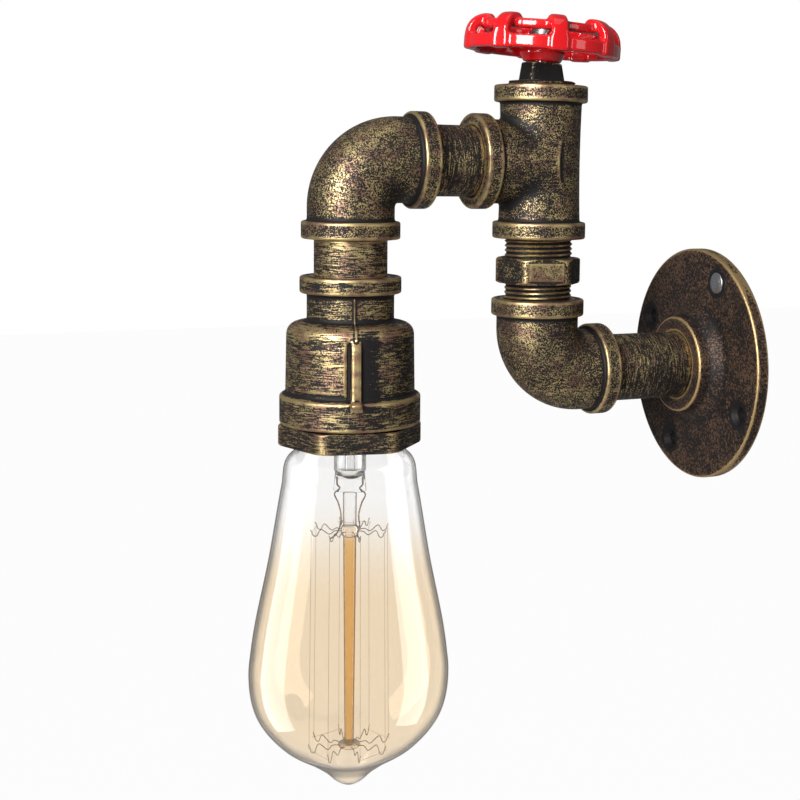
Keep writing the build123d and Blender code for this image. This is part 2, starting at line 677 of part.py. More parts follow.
def filament_ends(k):
    """Top and bottom of one straight run of the filament, just outside the hooks."""
    upper = cap_rim_z - upper_hub_depth - upper_hub_height / 2
    lower = cap_rim_z - lower_hub_depth - lower_hub_height / 2
    gap = hook_radius + filament_radius + 0.3
    return hook_point(k, upper_hook_reach + gap, upper), hook_point(k, lower_hook_reach + gap, lower)


def make_filament():
    """The cage: straight runs between the hooks, joined in turn at the top and the bottom."""
    runs = []
    for k in range(hook_count):
        top, bottom = filament_ends(k)
        runs.append(wire_along([top, bottom], filament_radius, 1))
        if k < hook_count - 1:
            following = filament_ends(k + 1)
            link = (bottom, following[1]) if k % 2 == 0 else (top, following[0])
            runs.append(wire_along(list(link), filament_radius, 1))
            bead = Sphere(filament_radius * 1.25)
            runs.append(Pos(*link[0]) * bead + Pos(*link[1]) * bead)
    cage = runs[0]
    for piece in runs[1:]:
        cage += piece
    return cage


def make_leads():
    """Two lead-in wires from the pinch out to the first and last run of the filament."""
    foot = cap_rim_z - stem_foot
    leads = []
    for side, k in ((1, 0), (-1, hook_count - 1)):
        top = filament_ends(k)[0]
        across = radians(bulb_turn + 90)
        beside = (side * lead_offset * cos(across), side * lead_offset * sin(across))
        start, knee = (*beside, foot - 0.1), (*beside, foot - 5)
        end = (top[0] * 0.985, top[1] * 0.985, top[2] + 0.9)
        leads.append(wire_along([start, knee], lead_radius, 1) + wire_along([knee, end], lead_radius * 0.6, 1)
                     + Pos(*knee) * Sphere(lead_radius))
    return Compound(children=leads)


# --- the whole light ----------------------------------------------------------------------------
def build_nodes():
    elbow = make_elbow()
    wheel_screw, wheel_washer = make_wheel_screw()
    nodes = {
        "wall_flange": make_flange(),
        "lower_nipple": Pos(0, -hub_height, 0) * from_wall * make_pipe(lower_nipple_show),
        "lower_elbow": column * elbow,
        "hex_nipple": column * make_hex_nipple(),
        "tee": column * Pos(0, 0, arm_z) * make_tee(),
        "square_plug": make_plug(),
        "handwheel": make_handwheel(),
        "handwheel_screw": wheel_screw,
        "handwheel_washer": wheel_washer,
        "upper_nipple": Pos(0, branch_y, arm_z) * from_wall * make_pipe(upper_nipple_show),
        "upper_elbow": Pos(0, drop_y, arm_z) * Rot(Y=180) * elbow,
        "drop_nipple": drop * Pos(0, 0, reducer_top_z) * make_pipe(drop_nipple_show),
        "bell_reducer": drop * Pos(0, 0, reducer_top_z) * make_reducer(),
        "hex_bushing": drop * make_bushing(),
        "holder_body": drop * make_holder(),
        "holder_shell": drop * make_socket_shell(),
        "holder_contact": drop * make_contact(),
        "live_terminal": drop * make_terminal(-1),
        "neutral_terminal": drop * make_terminal(1),
        "terminal_screws": drop * Compound(children=[make_terminal_screw(-1), make_terminal_screw(1)]),
        "holder_plate": drop * make_plate(),
        "plate_screws": drop * make_plate_screws(),
        "earth_lug": drop * make_earth_lug(),
        "earth_screw": drop * make_earth_screw(),
        "live_wire": make_wire(-1),
        "neutral_wire": make_wire(1),
        "earth_wire": make_wire(0),
        "bulb_glass": drop * make_glass(),
        "bulb_cap": drop * make_cap(),
        "cap_insulator": drop * make_insulator(),
        "cap_contact": drop * make_tip(),
        "bulb_stem": drop * make_stem(),
        "bulb_rod": drop * make_rod(),
        "upper_hub": drop * make_hub(upper_hub_depth, upper_hub_height, upper_hub_radius),
        "lower_hub": drop * make_hub(lower_hub_depth, lower_hub_height, lower_hub_radius),
        "upper_hooks": drop * make_hooks(cap_rim_z - upper_hub_depth - upper_hub_height / 2,
                                         upper_hub_radius, upper_hook_reach, hook_rise),
        "lower_hooks": drop * make_hooks(cap_rim_z - lower_hub_depth - lower_hub_height / 2,
                                         lower_hub_radius, lower_hook_reach, hook_rise),
        "filament": drop * make_filament(),
        "lead_wires": drop * make_leads(),
    }
    return nodes


os.makedirs("parts", exist_ok=True)
for name, shape in build_nodes().items():
    shape.label = name
    export_step(shape, f"parts/{name}.step")
    print(f"{name}: {len(shape.solids())} solids, {shape.volume:.1f} mm3")
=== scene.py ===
import math
from types import SimpleNamespace
import bpy
import numpy as np
from mathutils import Matrix, Vector


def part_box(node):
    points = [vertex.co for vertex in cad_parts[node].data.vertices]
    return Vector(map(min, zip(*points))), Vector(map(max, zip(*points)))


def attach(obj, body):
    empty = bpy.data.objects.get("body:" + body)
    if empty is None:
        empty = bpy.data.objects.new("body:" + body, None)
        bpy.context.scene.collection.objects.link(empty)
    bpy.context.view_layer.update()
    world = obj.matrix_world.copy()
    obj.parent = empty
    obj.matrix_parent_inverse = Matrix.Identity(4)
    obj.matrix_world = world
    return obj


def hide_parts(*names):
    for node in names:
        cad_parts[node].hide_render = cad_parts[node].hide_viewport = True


# Industrial pipe wall light. Shapes are worked out in millimetres and put into the meshes in metres.
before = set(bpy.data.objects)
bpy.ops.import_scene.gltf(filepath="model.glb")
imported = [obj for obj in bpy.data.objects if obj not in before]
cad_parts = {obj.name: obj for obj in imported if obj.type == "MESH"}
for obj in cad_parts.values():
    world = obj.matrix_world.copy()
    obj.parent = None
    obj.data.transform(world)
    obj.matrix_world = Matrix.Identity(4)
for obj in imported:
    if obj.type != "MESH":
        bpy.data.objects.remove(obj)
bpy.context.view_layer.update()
mm = 0.001
turn = 2 * math.pi
print("frame loaded")


# Places, read from the frame
def spanOf(node):
    low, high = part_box(node)
    return np.array(low) / mm, np.array(high) / mm


def middleOf(node):
    low, high = spanOf(node)
    return (low + high) / 2


columnY = middleOf("hex_nipple")[1]
dropY = middleOf("drop_nipple")[1]
armZ = middleOf("upper_nipple")[2]
onColumn, onDrop = (0, columnY, 0), (0, dropY, 0)
teeReach = spanOf("tee")[1][2] - armZ
elbowReach = spanOf("lower_elbow")[1][2]
reducerTop = spanOf("bell_reducer")[1][2]
reducerFoot = spanOf("bell_reducer")[0][2]
bushingFoot = spanOf("hex_bushing")[0][2]
capRim = spanOf("bulb_cap")[0][2]
bulbTip = spanOf("bulb_glass")[0][2]


# An outline of (along, radius, fillet) corners as dense points: each corner becomes an arc that
# touches both its sides, and straight runs are divided evenly.
def outline(corners, closed=True, step=0.5, arcSteps=5):
    points = np.array([corner[:2] for corner in corners], float)
    fillets = [corner[2] if len(corner) > 2 else 0 for corner in corners]
    count = len(points)
    bits = []
    for i, (point, fillet) in enumerate(zip(points, fillets)):
        if fillet == 0 or (not closed and i in (0, count - 1)):
            bits.append(point[None])
            continue
        back, ahead = points[i - 1] - point, points[(i + 1) % count] - point
        backLength, aheadLength = np.hypot(*back), np.hypot(*ahead)
        back, ahead = back / backLength, ahead / aheadLength
        half = math.acos(np.clip(back @ ahead, -1, 1)) / 2
        cut = min(fillet / math.tan(half), 0.49 * min(backLength, aheadLength))
        radius = cut * math.tan(half)
        centre = point + (back + ahead) / np.hypot(*(back + ahead)) * radius / math.sin(half)
        sweep = math.pi - 2 * half
        share = np.linspace(0, 1, arcSteps + 1)[:, None]
        start, end = point + back * cut - centre, point + ahead * cut - centre
        arc = (np.sin((1 - share) * sweep) * start + np.sin(share * sweep) * end) / math.sin(sweep)
        bits.append(centre + arc)
    rough = np.vstack(bits + ([bits[0][:1]] if closed else []))
    lengths = np.hypot(*np.diff(rough, axis=0).T)
    fine = []
    for start, end, length in zip(rough, rough[1:], lengths):
        if length > 1e-6:
            share = np.linspace(0, 1, max(1, math.ceil(length / step)), endpoint=False)[:, None]
            fine.append(start + (end - start) * share)
    return np.vstack(fine if closed else fine + [rough[-1:]])


# Quads between the points of a grid whose columns close up, and whose rows may
def gridQuads(rows, columns, closeRows):
    row = np.arange(rows if closeRows else rows - 1)[:, None]
    column = np.arange(columns)[None]
    nextRow, nextColumn = (row + 1) % rows, (column + 1) % columns
    corners = [row * columns + column, row * columns + nextColumn,
               nextRow * columns + nextColumn, nextRow * columns + column]
    return np.stack(np.broadcast_arrays(*corners), -1).reshape(-1, 4)


# A grid of points (rows, columns, 3) as a closed shell: a ring shell where the rows close up,
# otherwise its first and last rows are each drawn together to one pole.
def shellOf(grid, closeRows=True):
    rows, columns = grid.shape[:2]
    if closeRows:
        points, faces = grid.reshape(-1, 3), [gridQuads(rows, columns, True)]
    else:
        inner = grid[1:-1].reshape(-1, 3)
        points = np.vstack([inner, grid[0].mean(0), grid[-1].mean(0)])
        first, last = len(inner), len(inner) + 1
        around = np.arange(columns)
        following = (around + 1) % columns
        tail = len(inner) - columns
        faces = [gridQuads(rows - 2, columns, False),
                 np.stack([following, around, np.full(columns, first)], -1),
                 np.stack([tail + around, tail + following, np.full(columns, last)], -1)]
    return outward(points, faces)


# Turns the faces over if the shell's volume comes out negative
def outward(points, faces):
    volume = 0
    for block in faces:
        a, b, c = points[block[:, 0]], points[block[:, 1]], points[block[:, 2]]
        volume += (a * np.cross(b, c)).sum()
        if block.shape[1] == 4:
            volume += (a * np.cross(c, points[block[:, 3]])).sum()
    return points, (faces if volume > 0 else [block[:, ::-1] for block in faces])


# Turned about Z: point = (r cos t, r sin t, z), with r and z along the outline, plus a radial
# relief that is a function of the angle t and of z, on the outer skin only.
def turnedGrid(profile, columns, relief=None, skinFrom=0.0):
    angle = np.arange(columns) / columns * turn
    height = profile[:, 0][:, None]
    radius = np.repeat(profile[:, 1][:, None], columns, 1)
    if relief is not None:
        radius = radius + np.where(profile[:, 1][:, None] > skinFrom, relief(angle[None], height), 0)
    height = np.broadcast_to(height, radius.shape)
    return np.stack([radius * np.cos(angle), radius * np.sin(angle), height], -1)


# A solid turned about Z from its outline's corners: round a bore, or closed at both ends on the axis
def turnedShell(corners, columns, step=0.5, bored=True, relief=None, skinFrom=0.0):
    grid = turnedGrid(outline(corners, bored, step), columns, relief, skinFrom)
    return shellOf(grid, closeRows=bored)


# Swept along a path: point = centre(s) + r (cos t * side + sin t * lift), r given at each step
def sweptGrid(centres, sides, lifts, radii, columns):
    angle = np.arange(columns) / columns * turn
    ring = np.cos(angle)[None, :, None] * sides[:, None] + np.sin(angle)[None, :, None] * lifts[:, None]
    return centres[:, None] + radii[:, None, None] * ring


# A round wire through a few points: a smooth curve through them, with a ring frame carried along
def wireShell(points, radius, columns=8, steps=6):
    points = np.array(points, float)
    padded = np.vstack([2 * points[0] - points[1], points, 2 * points[-1] - points[-2]])
    share = np.linspace(0, 1, steps, endpoint=False)[:, None]
    bits = []
    for a, b, c, d in zip(padded, padded[1:], padded[2:], padded[3:]):
        square, cube = (2 * a - 5 * b + 4 * c - d) * share ** 2, (3 * b - a - 3 * c + d) * share ** 3
        bits.append(0.5 * (2 * b + (c - a) * share + square + cube))
    line = np.vstack(bits + [points[-1:]])
    along = np.gradient(line, axis=0)
    along /= np.linalg.norm(along, axis=1)[:, None]
    side = np.cross(along[0], [0.31, 0.22, 0.93])
    sides = []
    for direction in along:
        side = side - direction * (side @ direction)
        side = side / np.linalg.norm(side)
        sides.append(side)
    sides = np.array(sides)
    lifts = np.cross(along, sides)
    ends = np.r_[0, np.arange(len(line)), len(line) - 1]
    radii = np.r_[0, np.full(len(line), radius), 0]
    return shellOf(sweptGrid(line[ends], sides[ends], lifts[ends], radii, columns), closeRows=False)


# The skin of a solid given as a field, which is negative inside: one point in each cell that the
# skin crosses, at the mean of its crossings, then moved onto the skin along the field's slope.
def fieldShell(field, low, high, step, rounds=4, probe=0.02):
    axes = [np.arange(a, b + step, step) for a, b in zip(low, high)]
    value = field(np.stack(np.meshgrid(*axes, indexing="ij"), -1))
    inside = value < 0
    size = np.array(value.shape) - 1

    def cut(block, offset):
        return block[tuple(slice(o, o + n) for o, n in zip(offset, size))]
    offsets = [(i, j, k) for i in (0, 1) for j in (0, 1) for k in (0, 1)]
    filled = sum(cut(inside, offset).astype(int) for offset in offsets)
    mixed = (filled > 0) & (filled < 8)
    total, hits = np.zeros(tuple(size) + (3,)), np.zeros(size)
    for start in offsets:
        for axis in range(3):
            if start[axis]:
                continue
            end = tuple(o + (k == axis) for k, o in enumerate(start))
            a, b = cut(value, start), cut(value, end)
            crosses = (a < 0) != (b < 0)
            share = np.where(crosses, a / np.where(crosses, a - b, 1), 0)
            spot = np.array(start) + share[..., None] * (np.arange(3) == axis)
            total += np.where(crosses[..., None], spot, 0)
            hits += crosses
    index = np.full(size, -1)
    index[mixed] = np.arange(mixed.sum())
    cells = np.argwhere(mixed)
    points = np.array(low) + step * (cells + total[mixed] / hits[mixed][:, None])
    faces = []
    for axis in range(3):
        b, c = (axis + 1) % 3, (axis + 2) % 3
        head = [slice(1, n) for n in size]
        head[axis] = slice(0, size[axis])
        tail = list(head)
        tail[axis] = slice(1, size[axis] + 1)
        starts, ends = inside[tuple(head)], inside[tuple(tail)]
        spots = np.argwhere(starts != ends) + [int(k != axis) for k in range(3)]
        solidFirst = starts[starts != ends]
        back = np.eye(3, dtype=int)
        ring = [spots, spots - back[b], spots - back[b] - back[c], spots - back[c]]
        quads = np.stack([index[tuple(part.T)] for part in ring], -1)
        faces.append(np.where(solidFirst[:, None], quads, quads[:, ::-1]))
    for _ in range(rounds):
        rises = [field(points + nudge) - field(points - nudge) for nudge in probe * np.eye(3)]
        slope = np.stack([rise / (2 * probe) for rise in rises], -1)
        move = -field(points) / np.maximum((slope ** 2).sum(-1), 0.2)
        points = points + np.clip(move, -0.4 * step, 0.4 * step)[:, None] * slope
    return outward(points, [np.vstack(faces)])


# A shell put in its place, turned by a matrix, or with its own Z pointing out of the wall, along -Y
def placed(shell, place=(0, 0, 0), fromWall=False, matrix=None):
    points, faces = shell
    if matrix is not None:
        points = points @ np.array(matrix).T
    if fromWall:
        x, y, z = points.T
        points = np.stack([x, -z, y], -1)
    return points + np.array(place, float), faces


# Wear: how far each point stands out of its neighbours, as the mean over its edges of the
# slope below its own tangent plane, evened out a few times. Hollows come out negative.
def addWear(mesh, rounds=2, full=0.30):
    count = len(mesh.vertices)
    place, normal = np.empty(count * 3), np.empty(count * 3)
    mesh.vertices.foreach_get("co", place)
    mesh.vertex_normals.foreach_get("vector", normal)
    place, normal = place.reshape(-1, 3) / mm, normal.reshape(-1, 3)
    ends = np.empty(len(mesh.edges) * 2, int)
    mesh.edges.foreach_get("vertices", ends)
    first, second = ends.reshape(-1, 2).T
    step = place[second] - place[first]
    length = (step ** 2).sum(1) + 1e-6
    bend = np.bincount(first, -(normal[first] * step).sum(1) / length, count)
    bend += np.bincount(second, (normal[second] * step).sum(1) / length, count)
    near = np.maximum(np.bincount(first, minlength=count) + np.bincount(second, minlength=count), 1)
    bend /= near
    for _ in range(rounds):
        around = np.bincount(first, bend[second], count) + np.bincount(second, bend[first], count)
        bend = 0.4 * bend + 0.6 * around / near
    attribute = mesh.attributes.new("wear", "FLOAT", "POINT")
    attribute.data.foreach_set("value", np.clip(bend / full, -1, 1).astype(np.float32))


def newObject(name, data):
    made = bpy.data.objects.new(name, data)
    bpy.context.scene.collection.objects.link(made)
    return made


# One object from closed shells in mm
def meshObject(name, shells):
    vertices, faces, offset = [], [], 0
    for points, blocks in shells:
        vertices.append(points)
        faces += [face for block in blocks for face in (block + offset).tolist()]
        offset += len(points)
    mesh = bpy.data.meshes.new(name)
    mesh.from_pydata((np.vstack(vertices) * mm).tolist(), [], faces)
    return newObject(name, mesh)


# One piece with its place, its finish, its body and the node that it stands for
def addPiece(name, shells, finish, node, place=(0, 0, 0), body="root", sharp=35, wear=True,
             change=None):
    piece = meshObject(name, [placed(shell, place) for shell in shells])
    if change:
        change(piece)
    mesh = piece.data
    mesh.polygons.foreach_set("use_smooth", np.ones(len(mesh.polygons), bool))
    mesh.set_sharp_from_angle(angle=math.radians(sharp))
    if wear:
        addWear(mesh)
    mesh.materials.clear()
    mesh.materials.append(finish)
    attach(piece, body)
    if node:
        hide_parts(node)
    return piece


# Rubs a piece's wear up or down where a function of x, y and z in mm gives more than 0
def polish(piece, where, amount):
    mesh = piece.data
    place, wear = np.empty(len(mesh.vertices) * 3), np.empty(len(mesh.vertices))
    mesh.vertices.foreach_get("co", place)
    values = mesh.attributes["wear"].data
    values.foreach_get("value", wear)
    values.foreach_set("value", wear + amount * where(*(place.reshape(-1, 3).T / mm)))


# A finish's socket, which plain sums and products can be written with
class Value:
    def __init__(self, finish, socket):
        self.finish, self.socket = finish, socket

    def math(self, operation, first, second):
        return self.finish.node("Math", {"operation": operation}, {0: first, 1: second})

    def __add__(self, other):
        return self.math("ADD", self, other)

    def __sub__(self, other):
        return self.math("SUBTRACT", self, other)

    def __rsub__(self, other):
        return self.math("SUBTRACT", other, self)

    def __mul__(self, other):
        return self.math("MULTIPLY", self, other)

    __radd__, __rmul__ = __add__, __mul__

    # 0 at low, 1 at high, eased at both ends
    def between(self, low, high):
        settings = {"interpolation_type": "SMOOTHSTEP"}
        return self.finish.node("MapRange", settings, {"Value": self, "From Min": low, "From Max": high})


class Finish:
    def __init__(self, name, world=False):
        self.data = (bpy.data.worlds if world else bpy.data.materials).new(name)
        self.data.use_nodes = True
        self.tree = self.data.node_tree
        self.shader = self.tree.nodes["Background" if world else "Principled BSDF"]

    # any node: its settings first, then its sockets' values or links
    def node(self, kind, settings=None, sockets=None, output=0):
        made = self.tree.nodes.new("ShaderNode" + kind)
        for key, value in (settings or {}).items():
            setattr(made, key, value)
        self.feed(made, sockets or {})
        return Value(self, made.outputs[output])

    def feed(self, made, sockets):
        for key, value in sockets.items():
            if isinstance(value, Value):
                self.tree.links.new(value.socket, made.inputs[key])
            else:
                made.inputs[key].default_value = value

    def set(self, **sockets):
        self.feed(self.shader, {key.replace("_", " "): value for key, value in sockets.items()})
        return self

    def place(self):
        return self.node("TexCoord", output=3)

    # noise with features of about the given size in mm, which may differ along x, y and z
    def noise(self, size, detail=4.0, rough=0.6, turned=(0, 0, 0), distort=0.0):
        size = size if hasattr(size, "__len__") else (size,) * 3
        place = {"Vector": self.place(), "Rotation": turned, "Scale": [1 / (s * mm) for s in size]}
        look = {"Scale": 1.0, "Detail": detail, "Roughness": rough, "Distortion": distort}
        return self.node("TexNoise", {}, {"Vector": self.node("Mapping", {}, place), **look})

    def mix(self, factor, first, second):
        opaque = [colour if isinstance(colour, Value) else (*colour, 1) for colour in (first, second)]
        return self.node("Mix", {"data_type": "RGBA"}, {0: factor, 6: opaque[0], 7: opaque[1]}, output=2)

    def wear(self):
        return self.node("Attribute", {"attribute_name": "wear"}, {}, output=2)

    def bump(self, height, depth):
        return self.node("Bump", {}, {"Strength": 1.0, "Distance": depth * mm, "Height": height})


bronze = {
    "black": (0.007, 0.006, 0.006), "gold": (0.52, 0.40, 0.19), "copper": (0.30, 0.18, 0.115),
    "patchSize": 16.0, "patchShare": 0.16, "wearShare": 0.34, "bareFrom": 0.64, "bareTo": 0.70,
    "rubbedRough": 0.37, "blackRough": 0.55, "dull": 0.2, "dents": 0.14,
}


# Black plating rubbed through to brass. The rubbed share is streaks + grains + edge wear, and
# what passes the threshold is bare metal, between gold and copper by a slow noise.
def bronzeFinish(name, streak, streakShare, grain, rubbed, edges=1.0, tilt=(0, 0, 0), tone=1.0):
    b = SimpleNamespace(**bronze)
    finish = Finish(name)
    streaks = finish.noise(streak, 5, 0.75, tilt)
    grains = finish.noise(grain, 3, 0.6, distort=0.6)
    patches = finish.noise(b.patchSize, 3, 0.6)
    amount = streaks * streakShare + grains * (1 - streakShare) + patches * b.patchShare
    amount = amount + finish.wear() * (b.wearShare * edges)
    bare = amount.between(b.bareFrom - rubbed, b.bareTo - rubbed)
    warm = finish.noise((8.0, 8.0, 5.0), 3, 0.6).between(0.40, 0.64)
    gold, copper = (tuple(tone * c for c in bronze[key]) for key in ("gold", "copper"))
    colour = finish.mix(bare, b.black, finish.mix(warm, gold, copper))
    rough = bare * (b.rubbedRough - b.blackRough) + b.blackRough
    dents = finish.bump(streaks * 0.3 + grains * 0.7, b.dents)
    finish.set(Base_Color=colour, Metallic=bare * 0.9, Roughness=rough, Specular_IOR_Level=b.dull,
               Normal=dents)
    return finish.data


castingBronze = bronzeFinish("casting_bronze", (3.0, 3.0, 0.7), 0.3, 0.5, 0.032)
reducerBronze = bronzeFinish("reducer_bronze", (5.0, 5.0, 0.42), 0.66, 0.55, 0.042, tilt=(0.2, -0.1, 0))
pipeBronze = bronzeFinish("pipe_bronze", (5.0, 5.0, 0.42), 0.66, 0.5, 0.04, tilt=(0.14, -0.07, 0))
armBronze = bronzeFinish("arm_bronze", (5.0, 0.45, 5.0), 0.6, 0.5, 0.02, tilt=(0, 0.1, 0.14))
nippleBronze = bronzeFinish("nipple_bronze", (3.0, 3.0, 1.0), 0.3, 0.55, 0.0, edges=1.1)
plugBlack = bronzeFinish("plug_black", (3.0, 3.0, 3.0), 0.2, 0.7, -0.09, edges=0.5, tone=0.7)


# The flange is near black: fine brown grains show on its face, and brass only along its worn edges
def flangeFinish():
    finish = Finish("flange_bronze")
    grains = finish.noise(0.7, 2, 0.5, distort=0.8)
    patches = finish.noise(13.0, 3, 0.6)
    worn = finish.wear()
    brown = (grains + patches * 0.35 + worn * 0.2).between(0.69, 0.77)
    bare = (grains * 0.5 + patches * 0.35 + worn * 0.42).between(0.60, 0.72)
    face = finish.mix(brown, bronze["black"], (0.100, 0.058, 0.036))
    colour = finish.mix(bare, face, (0.46, 0.32, 0.15))
    finish.set(Base_Color=colour, Metallic=bare * 0.5 + brown * 0.4, Roughness=0.55 - bare * 0.13,
               Specular_IOR_Level=0.2, Normal=finish.bump(grains, 0.18))
    return finish.data


flangeBronze = flangeFinish()


def enamelFinish():
    finish = Finish("wheel_red")
    cast = finish.noise(3.2, 3, 0.5)
    red = finish.mix(finish.noise(9.0, 2, 0.5), (0.42, 0.003, 0.006), (0.54, 0.006, 0.009))
    # Painted shade: the red is darkened in the hollows, where the wear attribute is negative
    hollowShadeRed = finish.mix((0 - finish.wear()).between(0.15, 1.0), red, (0.30, 0.003, 0.006))
    finish.set(Base_Color=hollowShadeRed, Roughness=cast * 0.10 + 0.30, Specular_IOR_Level=0.05,
               Coat_Weight=1.0, Coat_Roughness=0.07, Normal=finish.bump(cast, 0.10))
    return finish.data


# A simple finish: a fine noise moves its colour from dark to light, its roughness and its surface
def simpleFinish(name, light, dark, rough, size=(1.2, 1.2, 0.3), metallic=1.0, spread=0.15, dents=0.01):
    finish = Finish(name)
    grain = finish.noise(size, 4, 0.6)
    finish.set(Base_Color=finish.mix(grain.between(0.3, 0.7), dark, light), Metallic=metallic,
               Roughness=grain * spread + rough, Normal=finish.bump(grain, dents))
    return finish.data


# Clear glass, tinted amber from a height downwards; it is darker where it is seen edge on
def glassFinish(name, amber, fadeTop, fadeFoot, edge, edgeFrom, edgeTo):
    finish = Finish(name)
    height = finish.node("SeparateXYZ", {}, {0: finish.place()}, output=2)
    coat = height.between(fadeTop * mm, fadeFoot * mm)
    body = finish.mix(coat, (0.985, 0.985, 0.985), amber)
    facing = finish.node("LayerWeight", {}, {"Blend": 0.5}, output=1)
    rim = finish.mix(facing.between(edgeFrom, edgeTo), (1, 1, 1), edge)
    blend = {"data_type": "RGBA", "blend_type": "MULTIPLY"}
    tint = finish.node("Mix", blend, {0: 1.0, 6: body, 7: rim}, output=2)
    finish.set(Base_Color=tint, Roughness=0.0, Transmission_Weight=1.0, IOR=1.46)
    return finish.data


wheelRed = enamelFinish()
steel = simpleFinish("steel", (0.62, 0.63, 0.66), (0.40, 0.41, 0.44), 0.25)
brass = simpleFinish("brass", (0.80, 0.60, 0.28), (0.60, 0.42, 0.17), 0.28)
capMetal = simpleFinish("cap_brass", (0.78, 0.72, 0.58), (0.60, 0.54, 0.42), 0.22)
solder = simpleFinish("solder", (0.55, 0.55, 0.54), (0.36, 0.36, 0.37), 0.35, 1.5)
wireSteel = simpleFinish("wire_steel", (0.34, 0.27, 0.20), (0.14, 0.10, 0.07), 0.35)
filamentWire = simpleFinish("filament_wire", (0.30, 0.20, 0.12), (0.16, 0.10, 0.06), 0.4)
plain = {"metallic": 0.0, "spread": 0.12, "dents": 0.02}
ceramic = simpleFinish("ceramic", (0.86, 0.84, 0.79), (0.78, 0.75, 0.69), 0.15, 5.0, **plain)
capGlass = simpleFinish("cap_glass", (0.05, 0.04, 0.06), (0.02, 0.02, 0.03), 0.1, 2.0, **plain)
liveSleeve = simpleFinish("live_sleeve", (0.10, 0.10, 0.11), (0.06, 0.06, 0.07), 0.45, 2.0, **plain)
neutralSleeve = simpleFinish("neutral_sleeve", (0.85, 0.85, 0.83), (0.75, 0.75, 0.73), 0.45, 2.0, **plain)
earthSleeve = simpleFinish("earth_sleeve", (0.22, 0.48, 0.20), (0.14, 0.34, 0.12), 0.45, 2.0, **plain)
amberGlass = glassFinish("amber_glass", (0.94, 0.845, 0.71), -46.0, -76.0, (0.05, 0.035, 0.02), 0.62, 0.88)
stemGlass = glassFinish("stem_glass", (0.93, 0.85, 0.70), -48.0, -75.0, (0.03, 0.025, 0.02), 0.18, 0.66)
rodGlass = glassFinish("rod_glass", (0.84, 0.54, 0.20), -52.0, -62.0, (0.04, 0.02, 0.01), 0.10, 0.58)
print("finishes made")

# Wall flange
flange = {"radius": 47.25, "thick": 5.2, "edge": 0.8, "hubRadius": 19.4, "hubHeight": 14.0, "hubRoot": 24.5,
          "rootHeight": 4.2, "mouth": 13.9, "socket": 13.41, "socketDepth": 12.6, "bore": 10.45,
          "holes": 4, "holeCircle": 38.0, "holeTurn": 65.0, "holeRadius": 2.75, "sink": 4.5,
          "screwHead": 4.3}


# Turned about the pipe: the disc, a hollow sweep up to the hub, and the socket inside it
def flangeShell():
    f = SimpleNamespace(**flange)
    socketEnd = f.hubHeight - f.socketDepth
    casting = turnedShell([
        (0, f.bore), (0, f.radius, 0.6), (f.thick, f.radius, f.edge), (f.thick, f.hubRoot, 4.0),
        (f.thick + f.rootHeight, f.hubRadius + 0.5, 3.0), (f.hubHeight, f.hubRadius, 0.9),
        (f.hubHeight, f.mouth, 0.3), (f.hubHeight - 0.5, f.socket), (socketEnd, f.socket),
        (socketEnd, f.bore)], 320, step=0.8)
    return placed(casting, fromWall=True)


def holePlaces():
    angle = np.radians(flange["holeTurn"] + 360 / flange["holes"] * np.arange(flange["holes"]))
    return np.stack([np.cos(angle), 0 * angle, np.sin(angle)], -1) * flange["holeCircle"]


# The holes are cut with turned cutters: a straight bore and a countersink with a soft lip
def cutHoles(piece):
    f = SimpleNamespace(**flange)
    depth, top = f.sink - f.holeRadius, f.thick
    cutter = turnedShell([(-1, 0), (-1, f.holeRadius), (top - depth, f.holeRadius, 0.4),
                          (top - 0.25, f.sink, 0.4), (top + 1.2, f.sink + 0.9), (top + 1.2, 0)],
                         48, step=0.4, bored=False)
    cutters = meshObject("cutters", [placed(cutter, place, fromWall=True) for place in holePlaces()])
    cut = piece.modifiers.new("holes", "BOOLEAN")
    cut.operation, cut.object, cut.solver = "DIFFERENCE", cutters, "EXACT"
    bpy.context.view_layer.update()
    shown = piece.evaluated_get(bpy.context.evaluated_depsgraph_get())
    finished = bpy.data.meshes.new_from_object(shown)
    piece.modifiers.clear()
    piece.data = finished
    bpy.data.objects.remove(cutters)


flangePiece = addPiece("flange_casting", [flangeShell()], flangeBronze, "wall_flange", change=cutHoles)


# Painted shade: in and round the holes the wear is taken down, so they stay black and stand in for the shade
# inside the deep holes. The rim is rubbed at its top and its foot
def holeShade(x, y, z):
    return sum(np.hypot(x - place[0], z - place[2]) < flange["sink"] + 1.6 for place in holePlaces())


def onRim(x, y, z):
    return (np.hypot(x, z) > flange["radius"] - 0.3) * np.clip((np.abs(z) - 20) / 16, 0, 1)


# Painted shade: the holes and their rims are kept black
polish(flangePiece, holeShade, -1.2)
polish(flangePiece, onRim, 0.5)


# One domed screw head, sunk in the upper hole on the lamp's right
def screwShell():
    head, top = flange["screwHead"], flange["thick"]
    screw = turnedShell([(top - 2.2, 0), (top - 2.2, 2.6), (top - 0.6, head, 0.2), (top + 0.1, head, 0.3),
                         (top + 0.9, head * 0.6, 1.5), (top + 1.1, 0)], 48, step=0.3, bored=False)
    return placed(screw, holePlaces()[0], fromWall=True)


addPiece("flange_screw", [screwShell()], steel, None)
print("flange done")

# Pipes
pipe = {"radius": 13.35, "bore": 10.45, "depth": 12.0, "threadDepth": 0.9, "threadPitch": 1.81}


# Depth of the pipes' V thread at (angle, z): a triangle wave of z / pitch less the share of the turn
def threadWave(angle, height):
    share = (height / pipe["threadPitch"] - angle / turn) % 1
    return -pipe["threadDepth"] * np.abs(2 * share - 1)


